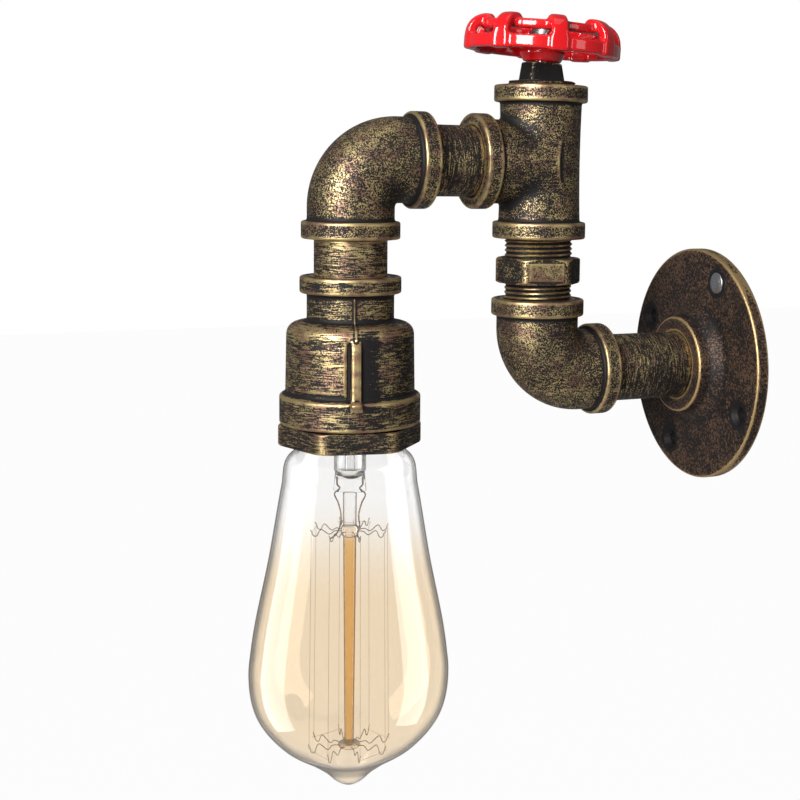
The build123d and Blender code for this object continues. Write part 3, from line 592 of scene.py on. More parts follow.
# A tube from low to high whose ends carry threads, of which the runs outside a fitting show
def pipeShell(low, high, radius, threadLow, threadHigh):
    bore = pipe["bore"]

    def relief(angle, height):
        atLow, atHigh = low + threadLow - height, height - high + threadHigh
        onThread = np.clip(atLow / 0.8, 0, 1) + np.clip(atHigh / 0.8, 0, 1)
        return threadWave(angle, height) * np.clip(onThread, 0, 1)

    corners = [(low, bore), (low, radius, 0.7), (high, radius, 0.7), (high, bore)]
    return turnedShell(corners, 144, step=0.45, relief=relief, skinFrom=bore + 1.5)


def addPipe(name, node, finish, upright=False):
    low, high = spanOf(node)
    thread = pipe["depth"] + 0.4
    start, end = (low[2], high[2]) if upright else (-high[1], -low[1])
    place = onDrop if upright else (0, 0, middleOf(node)[2])
    tube = placed(pipeShell(start, end, pipe["radius"], thread, thread), fromWall=not upright)
    addPiece(name, [tube], finish, node, place)


addPipe("lower_pipe", "lower_nipple", armBronze)
addPipe("upper_pipe", "upper_nipple", armBronze)
addPipe("drop_pipe", "drop_nipple", pipeBronze, upright=True)
print("pipes done")

# Elbows
elbow = {"body": 15.9, "collar": 18.0, "collarWidth": 6.4, "edge": 0.8, "root": 1.4, "bend": 17.5,
         "bore": 11.2, "socket": 13.41, "depth": 12.6}


# Swept along a straight, a quarter bend and a straight, with a radius that follows the distance
# along it: banded collars at both mouths, the body between them, and the sockets inside.
def elbowShell():
    e = SimpleNamespace(**elbow)
    run, curve = elbowReach - e.bend, e.bend * math.pi / 2
    skin = [(0, e.socket + 0.5), (0, e.collar, e.edge), (e.collarWidth, e.collar, e.edge),
            (e.collarWidth, e.body, e.root)]
    ways = [(e.depth, e.bore), (e.depth, e.socket), (0.5, e.socket)]

    def farEnd(corners):
        return [(2 * run + curve - along, *rest) for along, *rest in corners[::-1]]

    s, radius = outline(skin + farEnd(skin) + farEnd(ways) + ways, step=0.5).T
    bent = np.clip((s - run) / e.bend, 0, math.pi / 2)
    before, after = np.minimum(s - run, 0), np.maximum(s - run - curve, 0)
    zero = np.zeros_like(s)
    centre = np.stack([zero, e.bend - e.bend * np.sin(bent) - before,
                       e.bend - e.bend * np.cos(bent) + after], -1)
    side = np.stack([zero + 1, zero, zero], -1)
    lift = np.stack([zero, -np.sin(bent), -np.cos(bent)], -1)
    return shellOf(sweptGrid(centre, side, lift, radius, 160))


# Turned half round about Y
def upsideDown(shell):
    return shell[0] * [-1, 1, -1], shell[1]


upperElbow = upsideDown(elbowShell())
addPiece("lower_elbow_casting", [elbowShell()], castingBronze, "lower_elbow", place=onColumn)
addPiece("upper_elbow_casting", [upperElbow], castingBronze, "upper_elbow", place=(0, dropY, armZ))
print("elbows done")

# Hex nipple
hexNipple = {"thread": 13.2, "flats": 30.0, "turn": -13.0, "corner": 0.6, "edge": 1.5, "aboveElbow": 6.2,
             "belowTee": 7.5, "padWidth": 14.0, "padHeight": 7.4, "padProud": 0.5}


# Distance from the axis to a polygon's side at an angle: flat / cos(angle off the flat's middle),
# with its corners cut to a rounded limit
def polygonRadius(angle, sides, flats, turned, corner):
    sector = turn / sides
    off = (angle - math.radians(turned) + sector / 2) % sector - sector / 2
    side = flats / 2 / np.cos(off)
    limit = flats / 2 / math.cos(sector / 2) - corner
    gap = np.clip(0.5 + (limit - side) / (2 * corner), 0, 1)
    return side * gap + limit * (1 - gap) - corner * gap * (1 - gap)


# A head with flats between two heights, its corners turned off by a cone at both ends
def headShell(sides, flats, turned, corner, edge, low, high, bore, step=0.5, columns=288):
    reach = flats / 2 / math.cos(math.pi / sides)
    profile = outline([(low, bore), (low, reach - edge, 0.5), (low + edge * 0.6, reach, 0.3),
                       (high - edge * 0.6, reach, 0.3), (high, reach - edge, 0.5), (high, bore)], step=step)
    grid = turnedGrid(profile, columns)
    radius = np.hypot(grid[..., 0], grid[..., 1])
    angle = np.arctan2(grid[..., 1], grid[..., 0])
    flat = polygonRadius(angle, sides, flats, turned, corner)
    softest = 0.35
    share = np.clip(0.5 + (flat - radius) / (2 * softest), 0, 1)
    smaller = radius * share + flat * (1 - share) - softest * share * (1 - share)
    smaller = np.where(radius > bore + 0.3, np.maximum(smaller, bore), radius)
    grid[..., :2] *= (smaller / radius)[..., None]
    return shellOf(grid)


def hexNippleShells():
    h = SimpleNamespace(**hexNipple)
    low, high = spanOf("hex_nipple")
    hexLow, hexHigh = elbowReach + h.aboveElbow, armZ - teeReach - h.belowTee
    tube = pipeShell(low[2], high[2], h.thread, hexLow - low[2] + 4, high[2] - hexHigh + 4)
    head = headShell(6, h.flats, h.turn, h.corner, h.edge, hexLow, hexHigh, 12.0)
    across, up = np.meshgrid(np.linspace(-1, 1, 41), np.linspace(-1, 1, 25))
    wide, tall = h.padWidth / 2, h.padHeight / 2
    inset = np.minimum((1 - np.abs(across)) * wide, (1 - np.abs(up)) * tall)
    rise = h.padProud * np.sin(np.clip(inset / 0.5, 0, 1) * math.pi / 2)
    front = np.stack([h.flats / 2 + rise, across * wide, (hexLow + hexHigh) / 2 + up * tall], -1)
    back = front.copy()
    back[..., 0] = h.flats / 2 - 0.8
    pad = shellOf(np.concatenate([front, back[:, ::-1]], 1), closeRows=False)
    angle = math.radians(h.turn)
    spin = [[math.cos(angle), -math.sin(angle), 0], [math.sin(angle), math.cos(angle), 0], [0, 0, 1]]
    return [tube, head, placed(pad, matrix=spin)]


# The raised pad on one flat of the hex is rubbed bright
def onPad(x, y, z):
    angle = math.radians(hexNipple["turn"])
    return x * math.cos(angle) + (y - columnY) * math.sin(angle) > hexNipple["flats"] / 2 + 0.15


nipplePiece = addPiece("hex_nipple_casting", hexNippleShells(), nippleBronze, "hex_nipple", place=onColumn)
polish(nipplePiece, onPad, 0.30)
print("hex nipple done")


# Fields are distances that are negative inside.
# The smaller of two distances, blended over a width where they are close, and the larger one
def joined(a, b, width):
    share = np.clip(0.5 + (b - a) / (2 * width), 0, 1)
    return b * (1 - share) + a * share - width * share * (1 - share)


def common(a, b, width):
    return -joined(-a, -b, width)


# A ring or rod section: a rounded box in (radius, height) between two radii and two heights
def sectionField(radius, height, inner, outer, low, high, edge):
    across = np.abs(radius - (inner + outer) / 2) - (outer - inner) / 2 + edge
    up = np.abs(height - (low + high) / 2) - (high - low) / 2 + edge
    return np.hypot(np.maximum(across, 0), np.maximum(up, 0)) + np.minimum(np.maximum(across, up), 0) - edge


# Tee
tee = {"body": 15.9, "waist": 0.55, "collar": 18.0, "collarWidth": 6.4, "edge": 0.8, "fillet": 2.6,
       "root": 0.9, "bore": 11.2, "socket": 13.26, "branchSocket": 13.41, "depth": 12.6}


# The run and its branch blended by a fillet, collars on the three mouths, less the water ways
def teeField(place):
    t = SimpleNamespace(**tee)
    x, y, z = place[..., 0], place[..., 1], place[..., 2]
    foot, socketEnd = teeReach - t.collarWidth / 2, teeReach - t.depth
    around, alongRun = np.hypot(x, y), np.abs(z)
    aside, alongBranch = np.hypot(x, z), -y
    branchEnds = np.maximum(alongBranch - foot, -alongBranch)
    waist = t.waist * np.clip(1 - (z / foot) ** 2, 0, 1)
    body = common(around - t.body + waist, alongRun - foot, 0.3)
    solid = joined(body, common(aside - t.body, branchEnds, 0.3), t.fillet)
    for radius, along in ((around, alongRun), (aside, alongBranch)):
        low = teeReach - t.collarWidth
        collar = sectionField(radius, along, -t.collar, t.collar, low, teeReach, t.edge)
        solid = joined(solid, collar, t.root)
    runWay, branchWay = np.maximum(around - t.bore, alongRun - foot), np.maximum(aside - t.bore, branchEnds)
    ways = joined(runWay, branchWay, 0.5)
    for radius, along, socket in ((around, alongRun, t.socket), (aside, alongBranch, t.branchSocket)):
        ways = np.minimum(ways, np.maximum(radius - socket, socketEnd - along))
        mouth = radius - socket - 0.6 - (along - teeReach)
        ways = np.minimum(ways, mouth * 0.7 + np.maximum(0, socketEnd - along) * 9)
    return common(solid, -ways, 0.15)


teeEnd, teeSide = teeReach + 1, tee["collar"] + 1
teeSkin = fieldShell(teeField, (-teeSide, -teeEnd, -teeEnd), (teeSide, teeSide, teeEnd), 0.5)
addPiece("tee_casting", [teeSkin], castingBronze, "tee", place=(0, columnY, armZ))
print("tee done", len(teeSkin[0]))

# Square plug
plug = {"square": 14.8, "rise": 6.9, "draft": 8.0, "turn": -5.0, "corner": 0.8, "edge": 0.6, "show": 1.6,
        "thread": 13.2, "lean": 3.2, "leanTurn": 64.0, "sunk": 0.8}
teeTop = armZ + teeReach
seatZ = teeTop + plug["show"] + plug["rise"]


# Rotation that tips the wheel's seat: about Z, then by the lean, then back
def seatMatrix():
    around, lean = math.radians(plug["leanTurn"]), math.radians(plug["lean"])
    spin = Matrix.Rotation(around, 3, "Z")
    return np.array(spin @ Matrix.Rotation(lean, 3, "Y") @ spin.inverted())


seatTurn = seatMatrix()


# A tapering square on a round threaded foot: radius = square's side at the angle, drawn in with the
# height, and its top is cut to the leaning seat.
def plugShells():
    p = SimpleNamespace(**plug)
    foot, shoulder = spanOf("square_plug")[0][2], teeTop + p.show
    threaded = turnedShell([(foot, 0), (foot, p.thread, 0.5), (shoulder, p.thread, 0.6), (shoulder, 0)],
                           144, bored=False, relief=threadWave, skinFrom=12.0)
    tall, corner = p.rise + p.sunk, p.square * 0.72
    profile = outline([(0, 0), (0, corner), (tall, corner, p.edge), (tall, 0)], closed=False, step=0.35)
    x, y, z = np.moveaxis(turnedGrid(profile, 192), -1, 0)
    drawn = 1 - 2 * z * math.tan(math.radians(p.draft)) / p.square
    side = polygonRadius(np.arctan2(y, x), 4, p.square, p.turn, p.corner) * drawn
    x, y = x * (side / corner), y * (side / corner)
    tilt = seatTurn[:, 2]
    top = -(tilt[0] * x + tilt[1] * y) / tilt[2]
    head = np.stack([x, y, shoulder - p.sunk + z + top * (z / tall)], -1)
    return [threaded, shellOf(head, closeRows=False)]


addPiece("plug_casting", plugShells(), plugBlack, "square_plug", place=onColumn)
print("plug done")

# Handwheel, in its own frame: Z is its axis, and the band's underside is at 0
wheel = {"radius": 29.9, "lobes": 8, "lobeTurn": -14.0, "lobeWidth": 6.2, "lobeThick": 3.5, "crown": 7.6,
         "height": 13.0, "bandHeight": 4.9, "bandThick": 3.0, "bandInset": 0.5, "ring": 24.0,
         "ringWidth": 4.0, "ringHeight": 3.6, "ringDrop": 2.0, "spokes": 4, "spokeWidth": 5.0,
         "spokeThick": 3.4, "hubFoot": 7.2, "hubTop": 8.6, "hubDrop": 3.2, "hubRise": 6.8, "bore": 3.05,
         "gap": 0.3, "fillet": 1.2, "bandEdge": 0.9, "ringEdge": 1.2, "lobeEdge": 1.2, "swell": 0.2,
         "spokeEdge": 1.4}


# The angle from the nearest of some evenly spaced spokes
def foldedAngle(angle, count):
    sector = turn / count
    return (angle - math.radians(wheel["lobeTurn"]) + sector / 2) % sector - sector / 2


# Lobes: an arched strip that goes up, over by a quarter circle and in, and swells a little outwards
def lobeField(radius, angle, z):
    w = SimpleNamespace(**wheel)
    off = foldedAngle(angle, w.lobes)
    out, across = radius * np.cos(off), radius * np.sin(off)
    crown, half = w.crown - w.lobeThick / 2, w.lobeThick / 2
    arcX, arcZ, inEnd = w.radius - w.crown, w.height - w.crown, w.ring - w.ringWidth + 1.5
    down = np.hypot(out - arcX - crown, np.maximum(0, -z) + np.maximum(0, z - arcZ))
    inward = np.hypot(z - arcZ - crown, np.maximum(0, inEnd - out) + np.maximum(0, out - arcX))
    arc = np.abs(np.hypot(out - arcX, z - arcZ) - crown)
    bend = np.where((out > arcX) & (z > arcZ), arc, np.minimum(down, inward))
    swell = w.swell * (1 - np.clip(np.abs(across) / (w.lobeWidth / 2), 0, 1) ** 2)
    strip = common(bend - half - swell, np.abs(across) - w.lobeWidth / 2, w.lobeEdge)
    return common(strip, -z, 0.8)


# Spokes that drop from the ring to the hub, and narrow outwards
def spokeField(radius, angle, z, ringTop):
    w = SimpleNamespace(**wheel)
    off = foldedAngle(angle, w.spokes)
    out, across = radius * np.cos(off), radius * np.sin(off)
    heights = [w.hubRise - 3.4, w.hubRise - 3.2, ringTop - 2.2]
    middle = np.interp(out, [0, w.hubFoot, w.ring], heights)
    flank = np.abs(across) - w.spokeWidth / 2 + 0.03 * out
    spoke = common(np.abs(z - middle) - w.spokeThick / 2, flank, w.spokeEdge)
    return common(spoke, out - w.ring + 1.5, 0.5)


# The wheel: band, ring, lobes, spokes and a conical hub, blended by fillets, less its bore
def wheelField(place):
    w = SimpleNamespace(**wheel)
    x, y, z = place[..., 0], place[..., 1], place[..., 2]
    radius, angle = np.hypot(x, y), np.arctan2(y, x)
    outer, ringTop = w.radius - w.bandInset, w.height - w.ringDrop
    ringFoot = ringTop - w.ringHeight
    band = sectionField(radius, z, outer - w.bandThick, outer, 0, w.bandHeight, w.bandEdge)
    ring = sectionField(radius, z, w.ring - w.ringWidth, w.ring, ringFoot, ringTop, w.ringEdge)
    solid = joined(joined(band, ring, 0.2), lobeField(radius, angle, z), w.fillet * 1.6)
    solid = joined(solid, spokeField(radius, angle, z, ringTop), w.fillet)
    wide = w.hubFoot + (w.hubTop - w.hubFoot) * np.clip((z + w.hubDrop) / w.hubDrop, 0, 1)
    hub = common(radius - wide, np.maximum(z - w.hubRise, -w.hubDrop - z), 0.7)
    solid = np.maximum(joined(solid, hub, w.fillet * 1.3), -w.hubDrop - z)
    return common(solid, w.bore - radius, 0.2)


wheelSide = wheel["radius"] + 1
wheelLow = (-wheelSide, -wheelSide, -wheel["hubDrop"] - 1)
wheelHigh = (wheelSide, wheelSide, wheel["height"] + 1)
wheelSkin = fieldShell(wheelField, wheelLow, wheelHigh, 0.42)
seatPlace = np.array([0, columnY, seatZ]) + seatTurn[:, 2] * (wheel["hubDrop"] + wheel["gap"])
wheelShell = placed(wheelSkin, matrix=seatTurn)
addPiece("handwheel_casting", [wheelShell], wheelRed, "handwheel", place=seatPlace, body="wheel", sharp=70)
print("handwheel done", len(wheelSkin[0]))

# Bell reducer
reducer = {"collar": 18.5, "collarWidth": 6.1, "neck": 15.9, "neckFoot": 16.1, "shoulder": 5.6, "body": 23.2,
           "taper": 0.45, "band": 25.8, "bandWidth": 10.2, "bore": 11.2, "socket": 13.41, "depth": 12.6,
           "cavity": 20.95, "ceiling": 22.0, "ribTurn": -13.5, "ribWidth": 3.5, "ribProud": 1.5,
           "groove": 1.6, "panel": 0.25}


# Turned about the drop: collar, neck, round shoulder, body and band. Its relief has a rib, a panel
# that stands a little proud on the rib's left and ends in a groove, and a fine parting line above.
def reducerShell():
    r = SimpleNamespace(**reducer)
    height = reducerTop - reducerFoot
    shoulderZ = -r.neckFoot - 1.6
    bandTop = -height + r.bandWidth

    def ramp(value, low, high):
        share = np.clip((value - low) / (high - low), 0, 1)
        return share * share * (3 - 2 * share)

    def relief(angle, z):
        z = z + 0 * angle
        inBody = ramp(z, bandTop + 1.0, bandTop + 1.8) * ramp(-z, r.neckFoot + 5.5, r.neckFoot + 7.0)
        lift = 0
        for turned in (r.ribTurn, r.ribTurn + 180):
            # arc length from the rib's middle: positive towards +X's left as seen from outside
            off = ((angle - math.radians(turned) + math.pi) % turn - math.pi) * r.body
            rib = r.ribProud * (1 - ramp(np.abs(off), r.ribWidth / 2 - 0.5, r.ribWidth / 2 + 0.4))
            ribRun = ramp(z, bandTop - 2.6, bandTop - 0.4) * ramp(-z, r.neckFoot + 4.2, r.neckFoot + 8.5)
            lineRun = ramp(-z, r.collarWidth + 0.8, r.collarWidth + 1.6) * ramp(z, bandTop + 2, bandTop + 4)
            line = 0.45 * (1 - ramp(np.abs(off), 0.15, 0.7)) * lineRun
            left = -off - r.ribWidth / 2
            groove = ramp(left, 0.0, 0.5) * (1 - ramp(left, r.groove - 0.4, r.groove + 0.3)) * inBody
            panel = ramp(left, r.groove - 0.2, r.groove + 0.6) * (1 - ramp(left, 18, 26))
            panelRun = ramp(z, bandTop + 2.6, bandTop + 3.5) * ramp(-z, r.neckFoot + 7, r.neckFoot + 10)
            lift = lift + np.maximum(rib * ribRun, line) - 0.5 * groove + r.panel * panel * panelRun
        return lift

    corners = [
        (0, r.socket + 0.5), (0, r.collar, 0.8), (-r.collarWidth, r.collar, 0.8),
        (-r.collarWidth, r.neck, 1.6), (-r.neckFoot, r.neck, 1.2), (shoulderZ + 0.3, r.body, r.shoulder),
        (bandTop + 1.2, r.body + r.taper, 0.8), (bandTop, r.band, 1.0), (-height, r.band, 0.7),
        (-height, r.cavity), (-r.ceiling, r.cavity), (-r.ceiling, r.bore), (-r.depth, r.bore),
        (-r.depth, r.socket), (-0.5, r.socket)]
    return turnedShell(corners, 360, step=0.42, relief=relief, skinFrom=14.5)


reducerPiece = addPiece("reducer_casting", [reducerShell()], reducerBronze, "bell_reducer",
                        (0, dropY, reducerTop))


# Distance along the body's skin from the front rib, and whether a height is within the body
def fromRib(x, y, z):
    off = (np.arctan2(y - dropY, x) - math.radians(reducer["ribTurn"]) + math.pi) % turn - math.pi
    return off * reducer["body"], (z < reducerTop - 18) & (z > reducerFoot + reducer["bandWidth"] - 3)


def onRib(x, y, z):
    off, within = fromRib(x, y, z)
    proud = np.hypot(x, y - dropY) > reducer["body"] + 0.8
    return within * (np.abs(off) < reducer["ribWidth"] / 2 + 0.1) * proud


# Painted shadow: a band beside the rib has its wear taken down and stays black, standing in for the rib's
# shadow
def ribShadowBand(x, y, z):
    off, within = fromRib(x, y, z)
    return within * (off > reducer["ribWidth"] / 2) * np.clip((9.5 - off) / 3, 0, 1)


polish(reducerPiece, onRib, 0.7)
# Painted shadow beside the rib
polish(reducerPiece, ribShadowBand, -0.28)

# Hex bushing
bushing = {"flats": 46.8, "turn": -12.0, "corner": 0.7, "edge": 1.2, "hexHeight": 7.4, "thread": 20.29,
           "threadLength": 12.5, "bore": 19.5, "mouth": 18.3, "ledge": 3.3}


def bushingShells():
    b = SimpleNamespace(**bushing)
    hexTop, ledgeZ = bushingFoot + b.hexHeight, bushingFoot + b.ledge
    threadTop = hexTop + b.threadLength
    head = headShell(6, b.flats, b.turn, b.corner, b.edge, bushingFoot, hexTop, b.mouth, columns=360)
    thread = turnedShell([(ledgeZ - 0.4, b.mouth + 0.3), (hexTop - 1, b.thread), (threadTop, b.thread, 0.5),
                          (threadTop, b.bore), (ledgeZ, b.bore)], 180)
    return [head, thread]


addPiece("bushing_casting", bushingShells(), reducerBronze, "hex_bushing", onDrop)
print("reducer and bushing done")

# Bulb
bulb = {"radius": 37.3, "neckRadius": 12.3, "neckRise": 5.0, "wall": 0.8,
        "shape": [(0.445, 0.026), (0.622, 0.066), (0.673, 0.140), (0.791, 0.330), (0.979, 0.604),
                  (1.0, 0.664), (0.931, 0.777), (0.708, 0.859), (0.400, 0.919), (0.258, 0.949),
                  (0.125, 0.983)]}


# A cubic curve through points whose slope at each is that of the parabola through its neighbours
def smoothLine(points, steps):
    points = np.array(points, float)
    gaps = np.hypot(*np.diff(points, axis=0).T)
    slopes = np.diff(points, axis=0) / gaps[:, None]
    weight = (gaps[1:] / (gaps[1:] + gaps[:-1]))[:, None]
    inner = slopes[:-1] * weight + slopes[1:] * (1 - weight)
    ends = [2 * slopes[0] - inner[0], 2 * slopes[-1] - inner[-1]]
    tangents = np.vstack([ends[:1], inner, ends[1:]])
    s = np.linspace(0, 1, steps, endpoint=False)[:, None]
    bits = []
    for i, gap in enumerate(gaps):
        start, end, leave, arrive = points[i], points[i + 1], tangents[i] * gap, tangents[i + 1] * gap
        bits.append((2 * s ** 3 - 3 * s ** 2 + 1) * start + (s ** 3 - 2 * s ** 2 + s) * leave
                    + (3 * s ** 2 - 2 * s ** 3) * end + (s ** 3 - s ** 2) * arrive)
    return np.vstack(bits + [points[-1:]])


# Turned glass with an even wall: outer skin from the tip up to the neck, over its rim and down inside
def glassShell():
    b = SimpleNamespace(**bulb)
    drop = capRim - bulbTip
    shape = [(capRim + b.neckRise, b.neckRadius), (capRim, b.neckRadius)]
    shape += [(capRim - drop * share, b.radius * width) for width, share in b.shape] + [(bulbTip, 0)]
    line = smoothLine(shape, 14)
    along = np.gradient(line, axis=0)
    normal = np.stack([along[:, 1], -along[:, 0]], -1) / np.hypot(*along.T)[:, None]
    inner = line + normal * b.wall * np.sign((normal * [0, -1]).sum(1))[:, None]
    inner[:, 1] = np.clip(inner[:, 1], 0, None)
    inner[-1] = (bulbTip + b.wall * 1.5, 0)
    profile = np.vstack([line[::-1], inner])
    return shellOf(turnedGrid(profile, 192), closeRows=False)


# A piece that rides on the bulb, from shells with their origin on its axis, by default at the cap's rim
def addToBulb(name, shells, finish, node, height=capRim, sharp=35):
    addPiece(name, shells, finish, node, (0, dropY, height), "bulb", sharp, wear=False)


addToBulb("bulb_envelope", [glassShell()], amberGlass, "bulb_glass", height=0, sharp=60)

# The bulb's core. Heights are depths below the cap's rim
core = {"turn": -26.0, "stem": 5.9, "stemWall": 0.7, "stemTop": -4.0, "pinchTop": 13.5, "pinchFoot": 22.2,
        "pinchWide": 6.2, "pinchThick": 1.9, "exhaust": 1.9, "exhaustFoot": 14.0, "rod": 1.75,
        "beadTop": 34.4, "beadHeight": 4.6, "bead": 3.3, "discTop": 118.9, "discHeight": 1.9, "disc": 4.1,
        "hooks": 8, "upperReach": 14.3, "lowerReach": 15.2, "hookRadius": 0.17, "filament": 0.06,
        "lead": 0.30, "leadOffset": 4.6}
across = math.radians(core["turn"] + 90)
wideWay = np.array([math.cos(across), math.sin(across), 0])
deepWay = np.array([math.cos(across - math.pi / 2), math.sin(across - math.pi / 2), 0])


# The stem: a flared glass tube whose wall thins out, drawn flat at its foot into the pinch
def stemShells():
    i = SimpleNamespace(**core)
    foot, inner = -i.pinchTop, i.stem - i.stemWall
    tube = turnedShell([(-i.stemTop, 11.2), (-i.stemTop - 0.6, 11.35), (-4, i.stem + 1.2, 4),
                        (-9, i.stem, 6), (foot, i.stem, 2), (foot - 2.0, i.stem - 1.6, 1.5),
                        (foot - 1.4, i.stem - 2.2), (foot + 0.6, inner, 1.5), (-9, inner, 5),
                        (-4, i.stem + 0.4, 4)], 72)
    exhaust = turnedShell([(1, 1.2), (1, i.exhaust), (-i.exhaustFoot, i.exhaust, 0.4),
                           (-i.exhaustFoot, 1.2)], 32, step=0.6)
    share = np.linspace(0, 1, 30)
    z = foot + 0.4 - (i.pinchFoot - i.pinchTop + 0.4) * share
    ends = np.clip(np.minimum(share, 1 - share) * 9, 0, 1) ** 0.5
    wide = (i.stem - 0.6 + (i.pinchWide - i.stem + 0.6) * share) * (0.6 + 0.4 * ends)
    thick = (4.6 + (i.pinchThick - 4.6) * np.clip(share * 2.2, 0, 1)) * (0.5 + 0.5 * ends)
    angle = np.arange(48) / 48 * turn
    c, s = np.cos(angle)[None, :, None], np.sin(angle)[None, :, None]
    boxy = (c ** 4 + s ** 4) ** -0.25
    pinch = wide[:, None, None] * (boxy * c) * wideWay + thick[:, None, None] * (boxy * s) * deepWay
    pinch[..., 2] += z[:, None]
    return [tube, exhaust, shellOf(pinch, closeRows=False)]


addToBulb("stem_and_pinch", stemShells(), stemGlass, "bulb_stem")
rodFoot, rodTop = -core["discTop"] - 0.3, -core["pinchFoot"] + 0.6
rod = [(rodFoot, 0), (rodFoot, core["rod"], 0.3), (rodTop, core["rod"] * 1.5, 1.0), (rodTop, 0)]
addToBulb("centre_rod", [turnedShell(rod, 32, 0.6, bored=False)], rodGlass, "bulb_rod")
for name, node, key in (("upper_bead", "upper_hub", "bead"), ("lower_disc", "lower_hub", "disc")):
    top, height, radius = core[key + "Top"], core[key + "Height"], core[key]
    foot, soft = -top - height, height * 0.4
    bead = [(foot, 0), (foot, radius, soft), (-top, radius, soft), (-top, 0)]
    addToBulb(name, [turnedShell(bead, 48, 0.6, bored=False)], stemGlass, node)


# A point at an angle of the cage: k counts its straight runs
def cagePoint(k, reach, depth):
    angle = math.radians(core["turn"] + 360 / core["hooks"] * (k + 0.5))
    return np.array([reach * math.cos(angle), reach * math.sin(angle), -depth])


# Each hook leaves the bead, dips, and curls over at its end into an open loop that holds the wire
def hookShells(depth, root, reach, rise):
    outs = [root, root + 3, reach * 0.55, reach - 3.4, reach - 1.8, reach - 0.5, reach + 0.1, reach + 0.7]
    dips = [0, -0.3, rise * 0.35, -rise * 0.55, rise * 0.45, rise * 0.35, -rise * 0.3, -rise * 0.65]
    return [wireShell([cagePoint(k, out, depth + dip) for out, dip in zip(outs, dips)], core["hookRadius"])
            for k in range(core["hooks"])]


upperDepth = core["beadTop"] + core["beadHeight"] / 2
lowerDepth = core["discTop"] + core["discHeight"] / 2
upperHooks = hookShells(upperDepth, core["bead"] - 0.6, core["upperReach"], 2.2)
lowerHooks = hookShells(lowerDepth, core["disc"] - 0.6, core["lowerReach"], 3.0)
addToBulb("upper_hook_wires", upperHooks, wireSteel, "upper_hooks")
addToBulb("lower_hook_wires", lowerHooks, wireSteel, "lower_hooks")


# The filament as one wire: down one run, across to the next and up, eight runs in all
def filamentPath():
    path = []
    for k in range(core["hooks"]):
        top = cagePoint(k, core["upperReach"] + 0.3, upperDepth + 0.2)
        foot = cagePoint(k, core["lowerReach"] + 0.3, lowerDepth - 0.2)
        run = [top + (foot - top) * share for share in (0, 0.02, 0.2, 0.5, 0.8, 0.98, 1)]
        path += run if k % 2 == 0 else run[::-1]
    return path


filament = wireShell(filamentPath(), core["filament"], 6, 4)
addToBulb("filament_cage", [filament], filamentWire, "filament")


# Each lead leaves the pinch's foot, bows out and in, and reaches the first or the last run
def leadShell(way, k):
    beside, foot = wideWay * way * core["leadOffset"], core["pinchFoot"]
    bends = [(0.95, foot - 6.5), (1, foot - 3.2), (0.8, foot - 1.6), (1.25, foot + 0.6), (0.95, foot + 4),
             (0.72, foot + 8.5), (0.8, upperDepth - 1.5)]
    path = [beside * share + [0, 0, -depth] for share, depth in bends]
    path += [cagePoint(k, core["upperReach"] * 0.7, upperDepth - 0.9),
             cagePoint(k, core["upperReach"] + 0.1, upperDepth - 0.1)]
    return wireShell(path, core["lead"])


leads = [leadShell(1, 0), leadShell(-1, core["hooks"] - 1)]
addToBulb("lead_in_wires", leads, wireSteel, "lead_wires")

# Screw cap of the bulb and the shell that holds it
thread27 = {"pitch": 3.629, "depth": 1.0, "wall": 0.35, "outside": 13.0}


# Rounded thread: radius = outside less depth times a cosine wave of z / pitch less the turn's share
def roundThread(low, high, fadeLow, fadeHigh):
    t = SimpleNamespace(**thread27)
    inner = t.outside - t.wall

    def relief(angle, height):
        wave = 0.5 - 0.5 * np.cos(turn * (height / t.pitch - angle / turn))
        fromLow, fromHigh = height - low - fadeLow, high - fadeHigh - height
        return -t.depth * wave * np.clip(fromLow / 1.5, 0, 1) * np.clip(fromHigh / 1.5, 0, 1)

    corners = [(low, t.outside), (high, t.outside), (high, inner), (low, inner)]
    return turnedShell(corners, 96, step=0.3, relief=relief)


def capShells():
    crownZ = spanOf("cap_contact")[1][2] - 1.6 - 2.2
    shoulderZ = crownZ - 4.6
    screw = roundThread(capRim, shoulderZ, 4.0, 0.6)
    cone = turnedShell([(shoulderZ - 0.4, 12.95), (shoulderZ, 12.95, 0.5), (crownZ, 9.6, 0.4),
                        (crownZ - 0.2, 9.2), (shoulderZ - 0.5, 12.5)], 96, step=0.4)
    return [screw, cone]


addToBulb("screw_cap", capShells(), capMetal, "bulb_cap", height=0)
print("bulb done")

# Finishes of the nodes that keep their own shape
kept = {
    steel: ("handwheel_screw", "handwheel_washer", "holder_plate", "plate_screws"),
    brass: ("holder_shell", "holder_contact", "live_terminal", "neutral_terminal", "terminal_screws",
            "earth_lug", "earth_screw"),
    ceramic: ("holder_body",), capGlass: ("cap_insulator",), solder: ("cap_contact",),
    liveSleeve: ("live_wire",), neutralSleeve: ("neutral_wire",), earthSleeve: ("earth_wire",),
}
for finish, nodes in kept.items():
    for node in nodes:
        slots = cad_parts[node].data.materials
        slots.clear()
        slots.append(finish)

# Room: a pale floor, a white surround and soft lamps
room = {"floorZ": -1.42, "floorSize": 24.0, "shade": 0.09, "mirrored": 0.12, "glow": 0.975}


# 1 for what is seen straight or through glass, and a small share for what metal mirrors
def shownShare(finish):
    seen, glossy, through = (finish.node("LightPath", output=k) for k in (0, 3, 6))
    parts = {0: seen + glossy * room["mirrored"], 1: through}
    return finish.node("Math", {"operation": "ADD", "use_clamp": True}, parts)


def surround():
    world = Finish("surround", world=True)
    world.set(Color=(1, 1, 1, 1), Strength=shownShare(world) * (1 - room["shade"]) + room["shade"])
    bpy.context.scene.world = world.data


